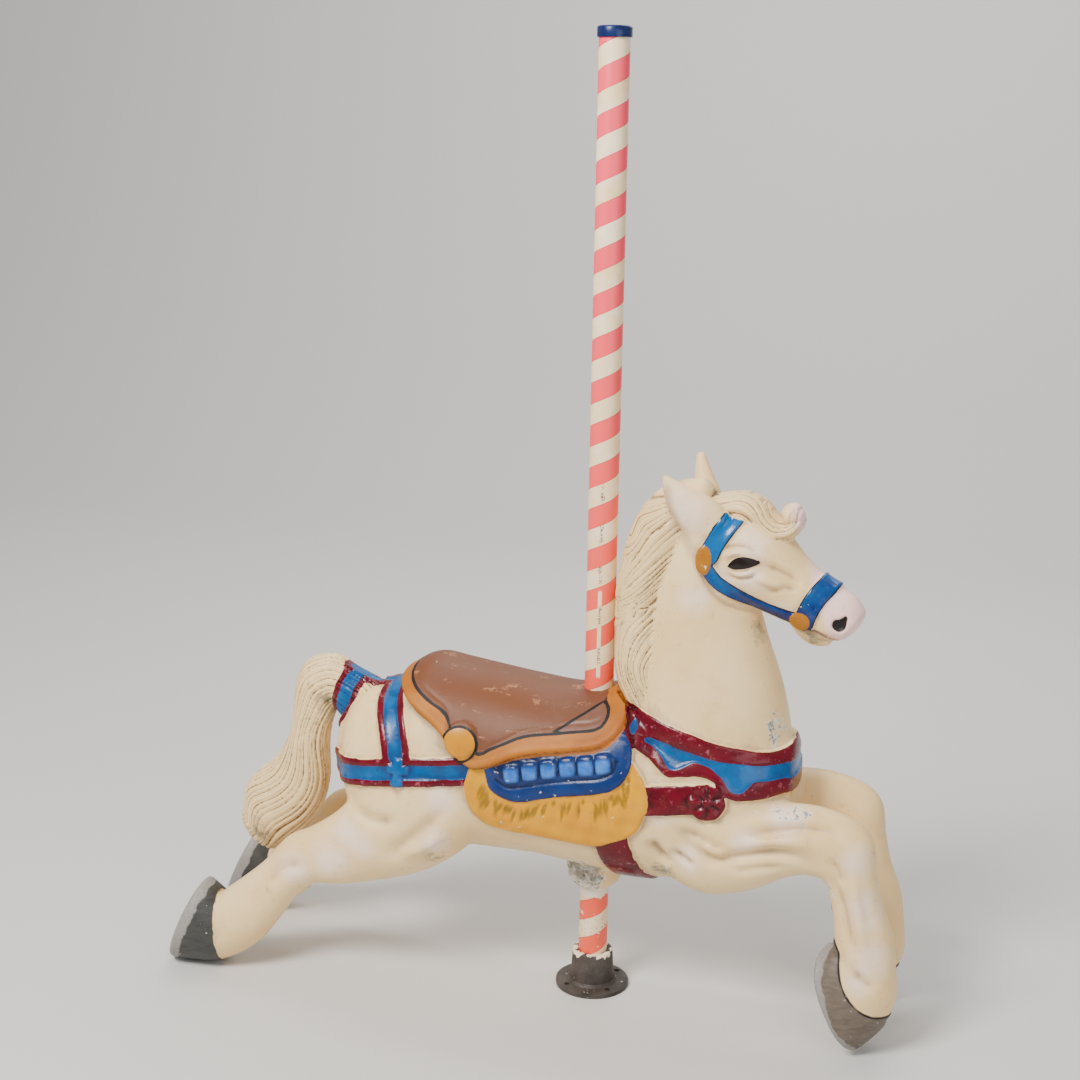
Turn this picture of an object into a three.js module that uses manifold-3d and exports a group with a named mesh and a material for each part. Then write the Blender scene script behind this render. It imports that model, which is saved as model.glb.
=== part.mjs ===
// Carousel horse on its pole: one hollow-cast horse with its saddle and harness cast in, a steel pole
// through it, a cap on top of the pole and a cast-iron flange on the floor.
// Millimetres, +Z up. +X is the way the horse faces and the origin is the centre of the flange's underside.
import * as THREE from 'three';
import { mergeVertices } from 'three/addons/utils/BufferGeometryUtils.js';
import Module from 'manifold-3d';

const wasm = await Module();
wasm.setup();

// ---- driving dimensions -------------------------------------------------------------------------
const GAP = 0.3;                 // clearance between two pieces that touch
const POLE_R = 24.15;            // 1 1/2 inch pipe
const POLE_TOP = 1566;
const CAP = { r: 27, height: 18, skirt: 3 };
const FLANGE = { r: 62, plate: 8, hubFoot: 39, hubTop: 34, top: 64, floor: 10, holeR: 4.5, holeAt: 50 };
const ROUND = 20;                // sides of the round pole, cap and flange
const BOSS = { r: 47, foot: 33, bottom: 186, shoulder: 204, top: 262 };

const HIND_Y = 114;              // half the distance between the hind hooves
const FORE_Y = 88;               // half the distance between the front hooves
const HEAD_TURN = -7 * Math.PI / 180;
const HEAD_PIVOT = new THREE.Vector3(170, 0, 0);

const FAR_EAR_SHIFT = [14, 0, 10];  // the left ear is held further forward than the right one

const BLANKET_OUT = 11;          // how far each layer stands out from the horse's side
const FLEECE_OUT = 7;
const STRAP_OUT = 4.5;
const HALTER_OUT = 3;
const CUT_HALF = 190;            // half width of a cutter that runs right across the horse

// ---- forms: a sphere whose rings are laid along a row of stations -------------------------------------
// A station is { x, z, y, deep, wide, tilt, box }: the centre of the section, its half size in the XZ plane,
// its half size across the horse, the direction in which the form runs there (degrees above +X) and how
// square the section is (2 is an ellipse).
const KEYS = ['x', 'z', 'y', 'deep', 'wide', 'tilt', 'box'];

function station(x, z, deep, wide, tilt, y = 0, box = 2) {
  return { x, z, y, deep, wide, tilt, box };
}

// Catmull-Rom through one value of the stations
function blend(stations, key, t) {
  const span = Math.min(Math.max(t, 0), 1) * (stations.length - 1);
  const i = Math.min(Math.floor(span), stations.length - 2);
  const f = span - i;
  const at = (k) => stations[Math.min(Math.max(k, 0), stations.length - 1)][key];
  const slopeA = (at(i + 1) - at(i - 1)) / 2;
  const slopeB = (at(i + 2) - at(i)) / 2;
  const f2 = f * f;
  const f3 = f2 * f;
  return (2 * f3 - 3 * f2 + 1) * at(i) + (f3 - 2 * f2 + f) * slopeA
    + (3 * f2 - 2 * f3) * at(i + 1) + (f3 - f2) * slopeB;
}

function sectionAt(stations, t, grow) {
  const s = {};
  for (const key of KEYS) s[key] = blend(stations, key, t);
  s.deep = Math.max(s.deep, 1) + grow;
  s.wide = Math.max(s.wide, 1) + grow;
  return s;
}

function power(value, exponent) {
  return Math.sign(value) * Math.pow(Math.abs(value), exponent);
}

const DOME_RINGS = 2;

// Rings of the sphere run from one end of the stations to the other; the first and last few close the
// ends as low domes whose height is `dome` times the section's half depth.
function loft(stations, { around = 20, along = 16, grow = 0, dome = [0.3, 0.3] } = {}) {
  const rings = along + 2 * DOME_RINGS;
  const geometry = new THREE.SphereGeometry(1, around, rings);
  const place = geometry.getAttribute('position');
  const uv = geometry.getAttribute('uv');
  for (let i = 0; i < place.count; i += 1) {
    const ring = Math.round((1 - uv.getY(i)) * rings);
    const turn = Math.round(uv.getX(i) * around) / around * 2 * Math.PI;
    const startCap = Math.max(0, DOME_RINGS - ring) / DOME_RINGS;
    const endCap = Math.max(0, ring - (rings - DOME_RINGS)) / DOME_RINGS;
    const s = sectionAt(stations, (ring - DOME_RINGS) / along, grow);
    const cap = Math.max(startCap, endCap);
    const shrink = Math.cos(cap * Math.PI / 2);
    const rise = Math.sin(cap * Math.PI / 2) * (endCap > 0 ? dome[1] : -dome[0]) * s.deep;
    const run = THREE.MathUtils.degToRad(s.tilt);
    const across = power(Math.cos(turn), 2 / s.box) * s.wide * shrink;
    const up = power(Math.sin(turn), 2 / s.box) * s.deep * shrink;
    const pole = ring === 0 || ring === rings ? 0 : 1;
    place.setXYZ(i, s.x + rise * Math.cos(run) - pole * up * Math.sin(run),
      s.y + pole * across,
      s.z + rise * Math.sin(run) + pole * up * Math.cos(run));
  }
  return solid(geometry);
}

// ---- solids: joins and cuts ------------------------------------------------------------------------
function solid(geometry) {
  const bare = geometry.clone();
  bare.deleteAttribute('normal');
  bare.deleteAttribute('uv');
  const merged = mergeVertices(bare, 1e-3);
  const vertProperties = new Float32Array(merged.getAttribute('position').array);
  const triVerts = new Uint32Array(merged.index.array);
  const made = new wasm.Manifold(new wasm.Mesh({ numProp: 3, vertProperties, triVerts }));
  return made.volume() < 0 ? solid(turnInsideOut(bare)) : made;
}

function turnInsideOut(geometry) {
  const index = geometry.index.array;
  for (let i = 0; i < index.length; i += 3) {
    [index[i], index[i + 1]] = [index[i + 1], index[i]];
  }
  return geometry;
}

function join(...solids) {
  return solids.reduce((whole, next) => whole.add(next));
}

function mirrored(one) {
  return join(one, one.mirror([0, 1, 0]));
}

function toMesh(name, made, material) {
  const data = made.getMesh();
  const geometry = new THREE.BufferGeometry();
  geometry.setAttribute('position', new THREE.BufferAttribute(new Float32Array(data.vertProperties), 3));
  geometry.setIndex(new THREE.BufferAttribute(new Uint32Array(data.triVerts), 1));
  geometry.computeVertexNormals();
  const mesh = new THREE.Mesh(geometry, material);
  mesh.name = name;
  return mesh;
}

// a prism across the horse: a side-view outline, pushed out to both sides
function across(points, smooth = true) {
  const knots = points.map(([x, z]) => new THREE.Vector2(x, z));
  const shape = new THREE.Shape();
  shape.moveTo(knots[0].x, knots[0].y);
  if (smooth) shape.splineThru([...knots.slice(1), knots[0]]);
  else knots.slice(1).forEach((k) => shape.lineTo(k.x, k.y));
  const options = { depth: 2 * CUT_HALF, bevelEnabled: false, curveSegments: 2 };
  const geometry = new THREE.ExtrudeGeometry(shape, options);
  geometry.rotateX(Math.PI / 2);
  geometry.translate(0, CUT_HALF, 0);
  return solid(geometry);
}

// a strip of even width along a side-view line
function band(points, width) {
  const line = points.map(([x, z]) => new THREE.Vector2(x, z));
  const left = [];
  const right = [];
  line.forEach((p, i) => {
    const before = line[Math.max(i - 1, 0)];
    const after = line[Math.min(i + 1, line.length - 1)];
    const side = after.clone().sub(before).normalize().multiplyScalar(width / 2);
    left.push([p.x - side.y, p.y + side.x]);
    right.unshift([p.x + side.y, p.y - side.x]);
  });
  return across([...left, ...right], false);
}

function ball(x, y, z, rx, ry, rz, tilt = 0, around = 10) {
  const geometry = new THREE.SphereGeometry(1, around, Math.round(around * 0.6));
  geometry.scale(rx, ry, rz);
  geometry.rotateY(-THREE.MathUtils.degToRad(tilt));
  geometry.translate(x, y, z);
  return solid(geometry);
}

function upright(profile, segments) {
  const geometry = new THREE.LatheGeometry(profile.map(([r, z]) => new THREE.Vector2(r, z)), segments);
  geometry.rotateX(Math.PI / 2);
  return solid(geometry);
}

// ---- the body -----------------------------------------------------------------------------------------
// x, bottom, top and half width of the trunk, from the rump to the chest
const TRUNK = [
  [-432, 326, 458, 62], [-408, 272, 490, 104], [-366, 250, 506, 124], [-308, 246, 511, 131],
  [-240, 248, 505, 128], [-170, 248, 498, 126], [-90, 242, 492, 129], [-10, 232, 491, 133],
  [70, 226, 500, 134], [130, 226, 512, 130], [190, 232, 520, 125], [245, 250, 518, 115],
  [290, 290, 506, 97], [318, 340, 488, 70],
];

function trunk(grow) {
  const stations = TRUNK.map(([x, low, high, wide]) =>
    station(x, (low + high) / 2, (high - low) / 2, wide, 0, 0, 2.15));
  return loft(stations, { around: 20, along: 13, grow, dome: [0.25, 0.2] });
}

function neck(grow) {
  const stations = [
    station(176, 400, 140, 100, 90), station(180, 480, 140, 103, 90), station(177, 560, 126, 92, 92),
    station(167, 645, 108, 77, 90), station(164, 715, 92, 67, 84), station(170, 770, 74, 60, 74),
    station(182, 815, 56, 54, 60), station(205, 838, 42, 44, 40),
  ];
  return loft(stations, { around: 14, along: 7, grow });
}

function thigh(grow) {
  const stations = [
    station(-296, 420, 95, 58, -78, -68), station(-276, 346, 118, 66, -100, -74),
    station(-324, 286, 94, 60, -142, -82), station(-392, 242, 68, 48, -154, -90),
    station(-446, 218, 55, 41, -150, -97), station(-488, 206, 47, 37, -146, -101),
    station(-525, 170, 41, 34, -136, -105), station(-560, 131, 47, 36, -134, -109),
    station(-594, 95, 54, 43, -146, -112), station(-626, 70, 57, 47, -172, -HIND_Y),
    station(-642, 67, 58, 48, -180, -HIND_Y),
  ];
  return loft(stations, { around: 11, along: 12, grow });
}

function foreleg(grow) {
  const stations = [
    station(150, 345, 95, 44, -10, -70), station(205, 322, 92, 54, 0, -76),
    station(262, 324, 78, 52, 14, -78), station(322, 338, 62, 45, 10, -80),
    station(376, 342, 57, 42, -10, -81), station(420, 326, 55, 42, -42, -82),
    station(434, 289, 42, 38, -72, -83), station(447, 240, 40, 35, -76, -85),
    station(459, 192, 46, 38, -78, -86), station(466, 146, 48, 40, -98, -87),
    station(463, 120, 56, 44, -118, -87), station(457, 106, 59, 46, -136, -FORE_Y),
  ];
  return loft(stations, { around: 11, along: 14, grow });
}

// a hoof runs from the hair line to the sole, which is the wider end
function hoof(top, sole, wideTop, wideSole, y) {
  const middle = {
    x: (top.x + sole.x) / 2, z: (top.z + sole.z) / 2,
    deep: (top.deep + sole.deep) / 2, tilt: (top.tilt + sole.tilt) / 2,
  };
  const stations = [
    station(top.x, top.z, top.deep, wideTop, top.tilt, y),
    station(middle.x, middle.z, middle.deep, (wideTop + wideSole) / 2, middle.tilt, y),
    station(sole.x, sole.z, sole.deep, wideSole, sole.tilt, y),
  ];
  return loft(stations, { around: 16, along: 1, dome: [0.1, 0.06] });
}

const HIND_HOOF = {
  top: { x: -640, z: 68, deep: 62, tilt: -180 },
  sole: { x: -695, z: 73, deep: 81, tilt: -203 },
};
const FORE_HOOF = {
  top: { x: 455, z: 107, deep: 64, tilt: -146 },
  sole: { x: 419, z: 74, deep: 84, tilt: -157 },
};

function hooves() {
  const hind = hoof(HIND_HOOF.top, HIND_HOOF.sole, 51, 57, -HIND_Y);
  const fore = hoof(FORE_HOOF.top, FORE_HOOF.sole, 49, 56, -FORE_Y);
  return mirrored(join(hind, fore));
}

function tail(grow) {
  const stations = [
    station(-385, 455, 50, 36, 172), station(-438, 480, 46, 33, 166), station(-472, 500, 50, 33, 188),
    station(-503, 484, 47, 33, 222), station(-510, 432, 36, 33, 262), station(-514, 385, 36, 35, 262),
    station(-529, 327, 52, 39, 250), station(-556, 283, 65, 42, 240), station(-585, 243, 65, 42, 228),
    station(-606, 212, 48, 36, 222),
  ];
  return loft(stations, { around: 11, along: 12, grow, dome: [0.3, 0.5] });
}

function mane() {
  const stations = [
    station(90, 515, 40, 62, 94), station(78, 575, 47, 72, 94), station(72, 640, 45, 68, 92),
    station(74, 715, 46, 63, 84), station(92, 785, 49, 58, 70), station(120, 842, 44, 46, 54),
    station(164, 868, 28, 36, 20),
  ];
  return loft(stations, { around: 11, along: 7, dome: [0.3, 0.6] });
}

// ---- the head, built straight and then turned a little to the horse's right --------------------------
function skull(grow) {
  const stations = [
    station(178, 820, 44, 46, -30), station(206, 794, 73, 57, -32), station(238, 774, 77, 60, -34),
    station(272, 757, 66, 54, -34), station(305, 738, 54, 45, -34), station(338, 719, 48, 40, -34),
    station(368, 704, 47, 41, -34), station(391, 693, 42, 42, -36), station(405, 687, 34, 37, -38),
  ];
  return loft(stations, { around: 12, along: 7, grow, dome: [0.3, 0.42] });
}

function jaw(grow) {
  const cheek = ball(216, 0, 766, 62 + grow, 58 + grow, 62 + grow, 0, 12);
  const chin = loft([
    station(318, 694, 22, 24, -40), station(338, 674, 24, 26, -42), station(352, 664, 23, 25, -20),
    station(370, 660, 16, 20, 5),
  ], { around: 9, along: 3, grow, dome: [0.3, 0.5] });
  return join(cheek, chin);
}

function ear() {
  const stations = [
    station(182, 812, 24, 18, 132, -36), station(163, 836, 31, 20, 130, -42),
    station(144, 860, 28, 17, 128, -48), station(127, 883, 17, 12, 126, -53),
    station(114, 902, 5, 4, 124, -56),
  ];
  const hollow = ball(154, -66, 851, 36, 14, 14, 129);
  return loft(stations, { around: 10, along: 4, dome: [0.2, 1] }).subtract(hollow);
}

function forelock() {
  const stations = [
    station(158, 846, 18, 28, 38), station(192, 858, 19, 31, 14), station(230, 861, 19, 33, -6),
    station(262, 848, 20, 32, -38), station(284, 824, 20, 30, -34), station(303, 820, 21, 28, 20),
    station(310, 838, 17, 25, 96),
  ];
  return loft(stations, { around: 9, along: 7, dome: [0.3, 0.7] });
}

function halter() {
  const shell = join(skull(HALTER_OUT), jaw(HALTER_OUT));
  const brow = band([[240, 885], [219, 847], [196, 808], [178, 776]], 27);
  const cheek = band([[186, 766], [208, 744], [236, 727], [274, 710], [330, 690]], 22);
  const nose = band([[384, 780], [354, 734], [322, 680]], 31);
  const discs = mirrored(join(ball(178, -56, 778, 15, 8, 24), ball(330, -38, 694, 16, 9, 16)));
  return join(shell.intersect(join(brow, cheek, nose)), discs);
}

function head() {
  const farEar = ear().mirror([0, 1, 0]).translate(FAR_EAR_SHIFT);
  const straight = join(skull(0), jaw(0), ear(), farEar, forelock(), halter());
  const p = HEAD_PIVOT;
  const degrees = THREE.MathUtils.radToDeg(HEAD_TURN);
  return straight.translate([-p.x, 0, 0]).rotate([0, 0, degrees]).translate([p.x, 0, 0]);
}

// ---- saddle and harness, cast in one with the body -------------------------------------------------------
function flanks(grow) {
  return join(trunk(grow), neck(grow), mirrored(thigh(grow)));
}

function saddle() {
  const seat = [
    [-354, 240, 522, 112], [-322, 240, 549, 136], [-288, 240, 560, 146], [-235, 240, 551, 145],
    [-175, 240, 540, 142], [-110, 240, 530, 144], [-45, 240, 522, 148], [15, 240, 524, 149],
    [50, 240, 530, 149], [90, 240, 532, 145],
  ].map(([x, low, high, wide]) => station(x, (low + high) / 2, (high - low) / 2, wide, 0, 0, 2.2));
  const skirt = [
    [-366, 600], [-352, 530], [-328, 503], [-300, 492], [-268, 486], [-246, 470], [-226, 450],
    [-208, 430], [-185, 417], [-160, 418], [-128, 431], [-90, 445], [-46, 453], [0, 458], [36, 469],
    [58, 487], [68, 512], [62, 560], [50, 600],
  ];
  return loft(seat, { around: 20, along: 9 }).intersect(across(skirt));
}

function blanket() {
  const outline = [
    [-165, 440], [-156, 402], [-134, 378], [-104, 371], [-60, 382], [0, 394], [50, 405], [76, 427],
    [84, 455], [76, 495], [-40, 520],
  ];
  return trunk(BLANKET_OUT).intersect(across(outline, false));
}

function fleece() {
  const outline = [
    [-186, 422], [-191, 385], [-180, 347], [-155, 321], [-100, 314], [-30, 311], [30, 309], [72, 325],
    [103, 352], [114, 392], [104, 430], [84, 480], [-60, 480],
  ];
  return trunk(FLEECE_OUT).intersect(across(outline, false));
}

function harness() {
  const body = flanks(STRAP_OUT);
  const collar = across([
    [56, 528], [90, 528], [121, 521], [171, 506], [217, 493], [262, 483], [300, 478], [360, 477],
    [360, 411], [300, 410], [270, 407], [248, 406], [232, 413], [222, 427], [208, 438], [190, 441],
    [160, 437], [144, 436], [128, 445], [112, 457], [92, 471], [70, 482], [56, 500],
  ], false);
  const breeching = band([[-185, 411], [-264, 400], [-334, 391], [-400, 378], [-480, 366]], 53);
  const hipStrap = band([[-372, 550], [-350, 503], [-330, 478], [-315, 445], [-304, 390]], 46);
  const sideStrap = band([[98, 394], [205, 409]], 47);
  const girth = band([[54, 330], [66, 280], [84, 206]], 58);
  const crupper = band([[-398, 550], [-424, 505], [-437, 476], [-444, 420]], 38);
  const strips = join(collar, breeching, hipStrap, sideStrap, girth);
  const rosette = ball(210, -134, 408, 26, 14, 26, 0, 12);
  const knob = ball(-303, -126, 380, 13, 12, 13);
  return join(body.intersect(strips), tail(STRAP_OUT).intersect(crupper), mirrored(join(rosette, knob)));
}

function discOnSkirt() {
  return mirrored(ball(-196, -134, 458, 28, 14, 27, 0, 12));
}

function boss() {
  return upright([
    [0, BOSS.bottom], [BOSS.foot, BOSS.bottom], [BOSS.r - 3, BOSS.shoulder - 6],
    [BOSS.r, BOSS.shoulder + 12], [BOSS.r + 6, BOSS.top], [0, BOSS.top],
  ], 16);
}

// ---- the pieces ------------------------------------------------------------------------------------------
function uprightRod(r, low, high, sides) {
  const rod = new THREE.CylinderGeometry(r, r, high - low, sides);
  rod.rotateX(Math.PI / 2);
  rod.translate(0, 0, (low + high) / 2);
  return rod;
}

function poleBore() {
  return solid(uprightRod(POLE_R + GAP, BOSS.bottom - 20, 620, ROUND));
}

// the room above the floor: it flattens the soles where the hooves rest on it
function aboveFloor() {
  const room = { x: 2400, y: 800, z: 1600 };
  const box = new THREE.BoxGeometry(room.x, room.y, room.z);
  box.translate(0, 0, room.z / 2);
  return solid(box);
}

function horse() {
  const legs = mirrored(join(thigh(0), foreleg(0)));
  const flesh = join(trunk(0), neck(0), legs, hooves(), tail(0), mane(), head(), boss());
  const tack = join(saddle(), discOnSkirt(), blanket(), fleece(), harness());
  return join(flesh, tack).subtract(poleBore()).intersect(aboveFloor());
}

function pole() {
  return solid(uprightRod(POLE_R, FLANGE.floor + GAP, POLE_TOP, ROUND));
}

function poleCap() {
  const low = POLE_TOP - CAP.skirt;
  const high = low + CAP.height;
  return upright([
    [0, POLE_TOP + GAP], [POLE_R + GAP, POLE_TOP + GAP], [POLE_R + GAP, low], [CAP.r, low],
    [CAP.r, high - 2.5], [CAP.r - 2.5, high], [0, high],
  ], ROUND);
}

function floorFlange() {
  const f = FLANGE;
  const body = upright([
    [0, 0], [f.r, 0], [f.r, f.plate - 2], [f.r - 2, f.plate], [f.hubFoot + 4, f.plate + 1],
    [f.hubFoot, f.plate + 6], [f.hubTop, f.top], [POLE_R + GAP, f.top], [POLE_R + GAP, f.floor], [0, f.floor],
  ], ROUND);
  const holes = [45, 135, 225, 315].map((degrees) => {
    const hole = uprightRod(f.holeR, -f.plate, 3 * f.plate, 8);
    const turn = THREE.MathUtils.degToRad(degrees);
    hole.translate(f.holeAt * Math.cos(turn), f.holeAt * Math.sin(turn), 0);
    return solid(hole);
  });
  return holes.reduce((whole, hole) => whole.subtract(hole), body);
}

const PAINT = {
  cream: new THREE.MeshStandardMaterial({ color: 0xe6d7b9, roughness: 0.5, metalness: 0 }),
  pole: new THREE.MeshStandardMaterial({ color: 0xf0a098, roughness: 0.45, metalness: 0 }),
  navy: new THREE.MeshStandardMaterial({ color: 0x1e2864, roughness: 0.4, metalness: 0 }),
  iron: new THREE.MeshStandardMaterial({ color: 0x5f5a55, roughness: 0.55, metalness: 0.7 }),
};

const carouselHorse = new THREE.Group();
carouselHorse.add(toMesh('horse', horse(), PAINT.cream));
carouselHorse.add(toMesh('pole', pole(), PAINT.pole));
carouselHorse.add(toMesh('pole_cap', poleCap(), PAINT.navy));
carouselHorse.add(toMesh('floor_flange', floorFlange(), PAINT.iron));

export default carouselHorse;
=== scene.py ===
import math

import bpy
import numpy as np
from mathutils import Matrix, Vector
from mathutils.bvhtree import BVHTree


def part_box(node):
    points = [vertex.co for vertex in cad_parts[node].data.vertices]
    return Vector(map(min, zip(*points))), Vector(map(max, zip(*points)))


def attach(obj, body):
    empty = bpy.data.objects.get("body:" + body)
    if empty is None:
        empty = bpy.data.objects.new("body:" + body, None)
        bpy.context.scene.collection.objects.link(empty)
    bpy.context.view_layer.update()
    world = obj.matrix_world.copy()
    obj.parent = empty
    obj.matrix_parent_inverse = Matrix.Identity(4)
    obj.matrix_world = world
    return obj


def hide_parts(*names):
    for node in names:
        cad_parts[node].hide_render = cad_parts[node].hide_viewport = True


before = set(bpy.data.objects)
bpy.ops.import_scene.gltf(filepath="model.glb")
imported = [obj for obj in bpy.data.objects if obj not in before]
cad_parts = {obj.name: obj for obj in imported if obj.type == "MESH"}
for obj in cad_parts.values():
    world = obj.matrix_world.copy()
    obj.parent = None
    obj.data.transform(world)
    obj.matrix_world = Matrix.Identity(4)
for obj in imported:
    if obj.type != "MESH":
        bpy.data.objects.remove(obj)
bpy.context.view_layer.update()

MM = 0.001
VOXEL = 2.9    # mm between the points of the skin before it is thinned
TRIANGLES = 190000               # most that the casting's mesh keeps
FAR = -80                        # signed distance in mm that stands for far outside an area
for cad_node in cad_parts.values():
    cad_node.select_set(False)


# ---- camera, floor and light -------------------------------------------------------------------
def place_camera():
    """Near the horse's right shoulder, a little above its head, looking slightly down."""
    place = Vector((626.2, -2707.5, 1470.7)) * MM
    right = Vector((0.9636, 0.2662, 0.0238))
    ahead = Vector((-0.2529, 0.937, -0.2411))
    up = Vector((-0.0865, 0.2264, 0.9702))
    roll = math.radians(-0.517)
    turned_right = right * math.cos(roll) + up * math.sin(roll)
    turned_up = up * math.cos(roll) - right * math.sin(roll)
    lens = bpy.data.cameras.new("camera")
    lens.sensor_width = 36
    lens.lens = 59.13
    camera = bpy.data.objects.new("camera", lens)
    turn = Matrix((turned_right, turned_up, -ahead)).transposed().to_4x4()
    camera.matrix_world = Matrix.Translation(place) @ turn
    bpy.context.scene.collection.objects.link(camera)
    bpy.context.scene.camera = camera


def soft_lamp(name, place, aim, size, watts, colour):
    data = bpy.data.lights.new(name, "AREA")
    data.shape = "RECTANGLE"
    data.size, data.size_y = size
    data.energy = watts
    data.color = colour
    lamp = bpy.data.objects.new(name, data)
    lamp.location = place
    lamp.rotation_euler = (Vector(aim) - Vector(place)).to_track_quat("-Z", "Y").to_euler()
    bpy.context.scene.collection.objects.link(lamp)


def light_studio():
    soft_lamp("key_panel", (-1.2, -2.2, 3.1), (0, 0, 0.5), (1.2, 1.2), 205, (1.0, 0.97, 0.93))
    soft_lamp("fill_panel", (2.4, -2.6, 1.6), (0.1, 0, 0.5), (2.4, 2.0), 40, (0.95, 0.97, 1.0))
    soft_lamp("back_panel", (0.2, 2.0, 2.6), (0, 0, 0.6), (2.4, 1.0), 26, (1.0, 0.98, 0.95))
    soft_lamp("wall_panel", (0.0, 1.6, 4.6), (0, 5.5, 1.6), (4.0, 1.4), 190, (1.0, 0.99, 0.97))
    world = bpy.data.worlds.new("studio_air")
    bpy.context.scene.world = world
    world.use_nodes = True
    air = world.node_tree.nodes["Background"]
    air.inputs["Color"].default_value = (0.93, 0.94, 0.96, 1)
    air.inputs["Strength"].default_value = 0.55


def lay_floor():
    """A pale seamless sweep: floor in front, rising behind as a wall."""
    rise, back, radius = 6.0, 5.5, 2.5
    line = [(-9.0, 0.0), (back - radius, 0.0)]
    for step in range(1, 13):
        turn = step / 12 * math.pi / 2
        line.append((back - radius + radius * math.sin(turn), radius - radius * math.cos(turn)))
    line.append((back, rise))
    across = (-11.0, 11.0)
    verts = [(x, y, z) for y, z in line for x in across]
    faces = [(2 * i, 2 * i + 1, 2 * i + 3, 2 * i + 2) for i in range(len(line) - 1)]
    data = bpy.data.meshes.new("floor")
    data.from_pydata(verts, [], faces)
    data.polygons.foreach_set("use_smooth", [True] * len(faces))
    floor = bpy.data.objects.new("floor", data)
    bpy.context.scene.collection.objects.link(floor)
    paint = bpy.data.materials.new("floor_paint")
    paint.use_nodes = True
    shader = paint.node_tree.nodes["Principled BSDF"]
    shader.inputs["Base Color"].default_value = (0.6, 0.585, 0.56, 1)
    shader.inputs["Roughness"].default_value = 0.6
    data.materials.append(paint)


place_camera()
lay_floor()
light_studio()


# ---- forms: rounded bodies whose rings are laid along a row of stations -------------------------
def through(rows, t):
    """A smooth curve through the rows of a table, read at every t from 0 to 1."""
    rows = np.asarray(rows, float)
    span = np.clip(np.asarray(t, float), 0, 1) * (len(rows) - 1)
    i = np.minimum(span.astype(int), len(rows) - 2)
    f = (span - i)[:, None]
    a, b = rows[i], rows[i + 1]
    before, after = rows[np.maximum(i - 1, 0)], rows[np.minimum(i + 2, len(rows) - 1)]
    rise, fall = (b - before) / 2, (after - a) / 2
    return ((2 * f**3 - 3 * f**2 + 1) * a + (f**3 - 2 * f**2 + f) * rise
            + (3 * f**2 - 2 * f**3) * b + (f**3 - f**2) * fall)


def power(value, exponent):
    return np.sign(value) * np.abs(value) ** exponent


def rings(rows, around=56, along=60, dome=(0.3, 0.3), grow=0.0):
    """Points of a form. A row is x, z, half depth, half width, direction in degrees, y and squareness."""
    caps = 7
    low = np.linspace(1, 0, caps, endpoint=False)
    high = low[::-1]
    t = np.concatenate([np.zeros(caps), np.linspace(0, 1, along), np.ones(caps)])
    close = np.concatenate([low, np.zeros(along), high]) * math.pi / 2
    height = np.concatenate([-np.full(caps, dome[0]), np.zeros(along), np.full(caps, dome[1])])
    s = through(rows, t)
    x, z, deep, wide, tilt, y, box = s.T
    deep = np.maximum(deep, 1) + grow
    wide = np.maximum(wide, 1) + grow
    run = np.radians(tilt)
    rise = np.sin(close) * height * deep
    turn = np.linspace(0, 2 * math.pi, around, endpoint=False)
    across = power(np.cos(turn)[None, :], 2 / box[:, None]) * (wide * np.cos(close))[:, None]
    up = power(np.sin(turn)[None, :], 2 / box[:, None]) * (deep * np.cos(close))[:, None]
    px = (x + rise * np.cos(run))[:, None] - up * np.sin(run)[:, None]
    pz = (z + rise * np.sin(run))[:, None] + up * np.cos(run)[:, None]
    return np.stack([px, y[:, None] + across, pz], axis=2)


def skin(grid):
    """Closes a grid of ring points into vertices and faces; the first and last rings become fans."""
    count, around = grid.shape[:2]
    verts = grid[1:-1].reshape(-1, 3)
    ends = np.stack([grid[0].mean(0), grid[-1].mean(0)])
    inner = count - 2
    a = np.arange(inner * around).reshape(inner, around)
    b = np.roll(a, -1, axis=1)
    quads = np.stack([a[:-1], b[:-1], b[1:], a[1:]], axis=2).reshape(-1, 4)
    first, last = inner * around, inner * around + 1
    faces = quads.tolist()
    faces += [(first, b[0, i], a[0, i]) for i in range(around)]
    faces += [(last, a[-1, i], b[-1, i]) for i in range(around)]
    return np.concatenate([verts, ends]), faces


def form(rows, **options):
    rows = [tuple(r) + (0, 2)[len(r) - 5:] if len(r) < 7 else tuple(r) for r in rows]
    return skin(rings(rows, **options))


def ball(x, y, z, rx, ry, rz, tilt=0, around=40):
    """An egg: half sizes rx, ry, rz, leaning by tilt degrees in side view."""
    lat = np.linspace(-math.pi / 2, math.pi / 2, around // 2)
    lon = np.linspace(0, 2 * math.pi, around, endpoint=False)
    flat = np.cos(lat)[:, None]
    p = np.stack([flat * np.cos(lon) * rx, flat * np.sin(lon) * ry,
                  np.repeat(np.sin(lat)[:, None], around, 1) * rz], axis=2)
    c, s = math.cos(math.radians(tilt)), math.sin(math.radians(tilt))
    p = np.stack([p[..., 0] * c - p[..., 2] * s, p[..., 1], p[..., 0] * s + p[..., 2] * c], axis=2)
    return skin(p + np.array([x, y, z]))


def mirrored(solid):
    verts, faces = solid
    return verts * (1, -1, 1), [tuple(reversed(f)) for f in faces]


def both(solids):
    return solids + [mirrored(s) for s in solids]


def combined(solids):
    verts, faces, start = [], [], 0
    for v, f in solids:
        verts.append(v)
        faces += [tuple(i + start for i in face) for face in f]
        start += len(v)
    return np.concatenate(verts), faces


def make_object(name, verts, faces):
    data = bpy.data.meshes.new(name)
    data.from_pydata((verts * MM).tolist(), [], [tuple(int(i) for i in f) for f in faces])
    data.validate()
    thing = bpy.data.objects.new(name, data)
    bpy.context.scene.collection.objects.link(thing)
    return thing


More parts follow.
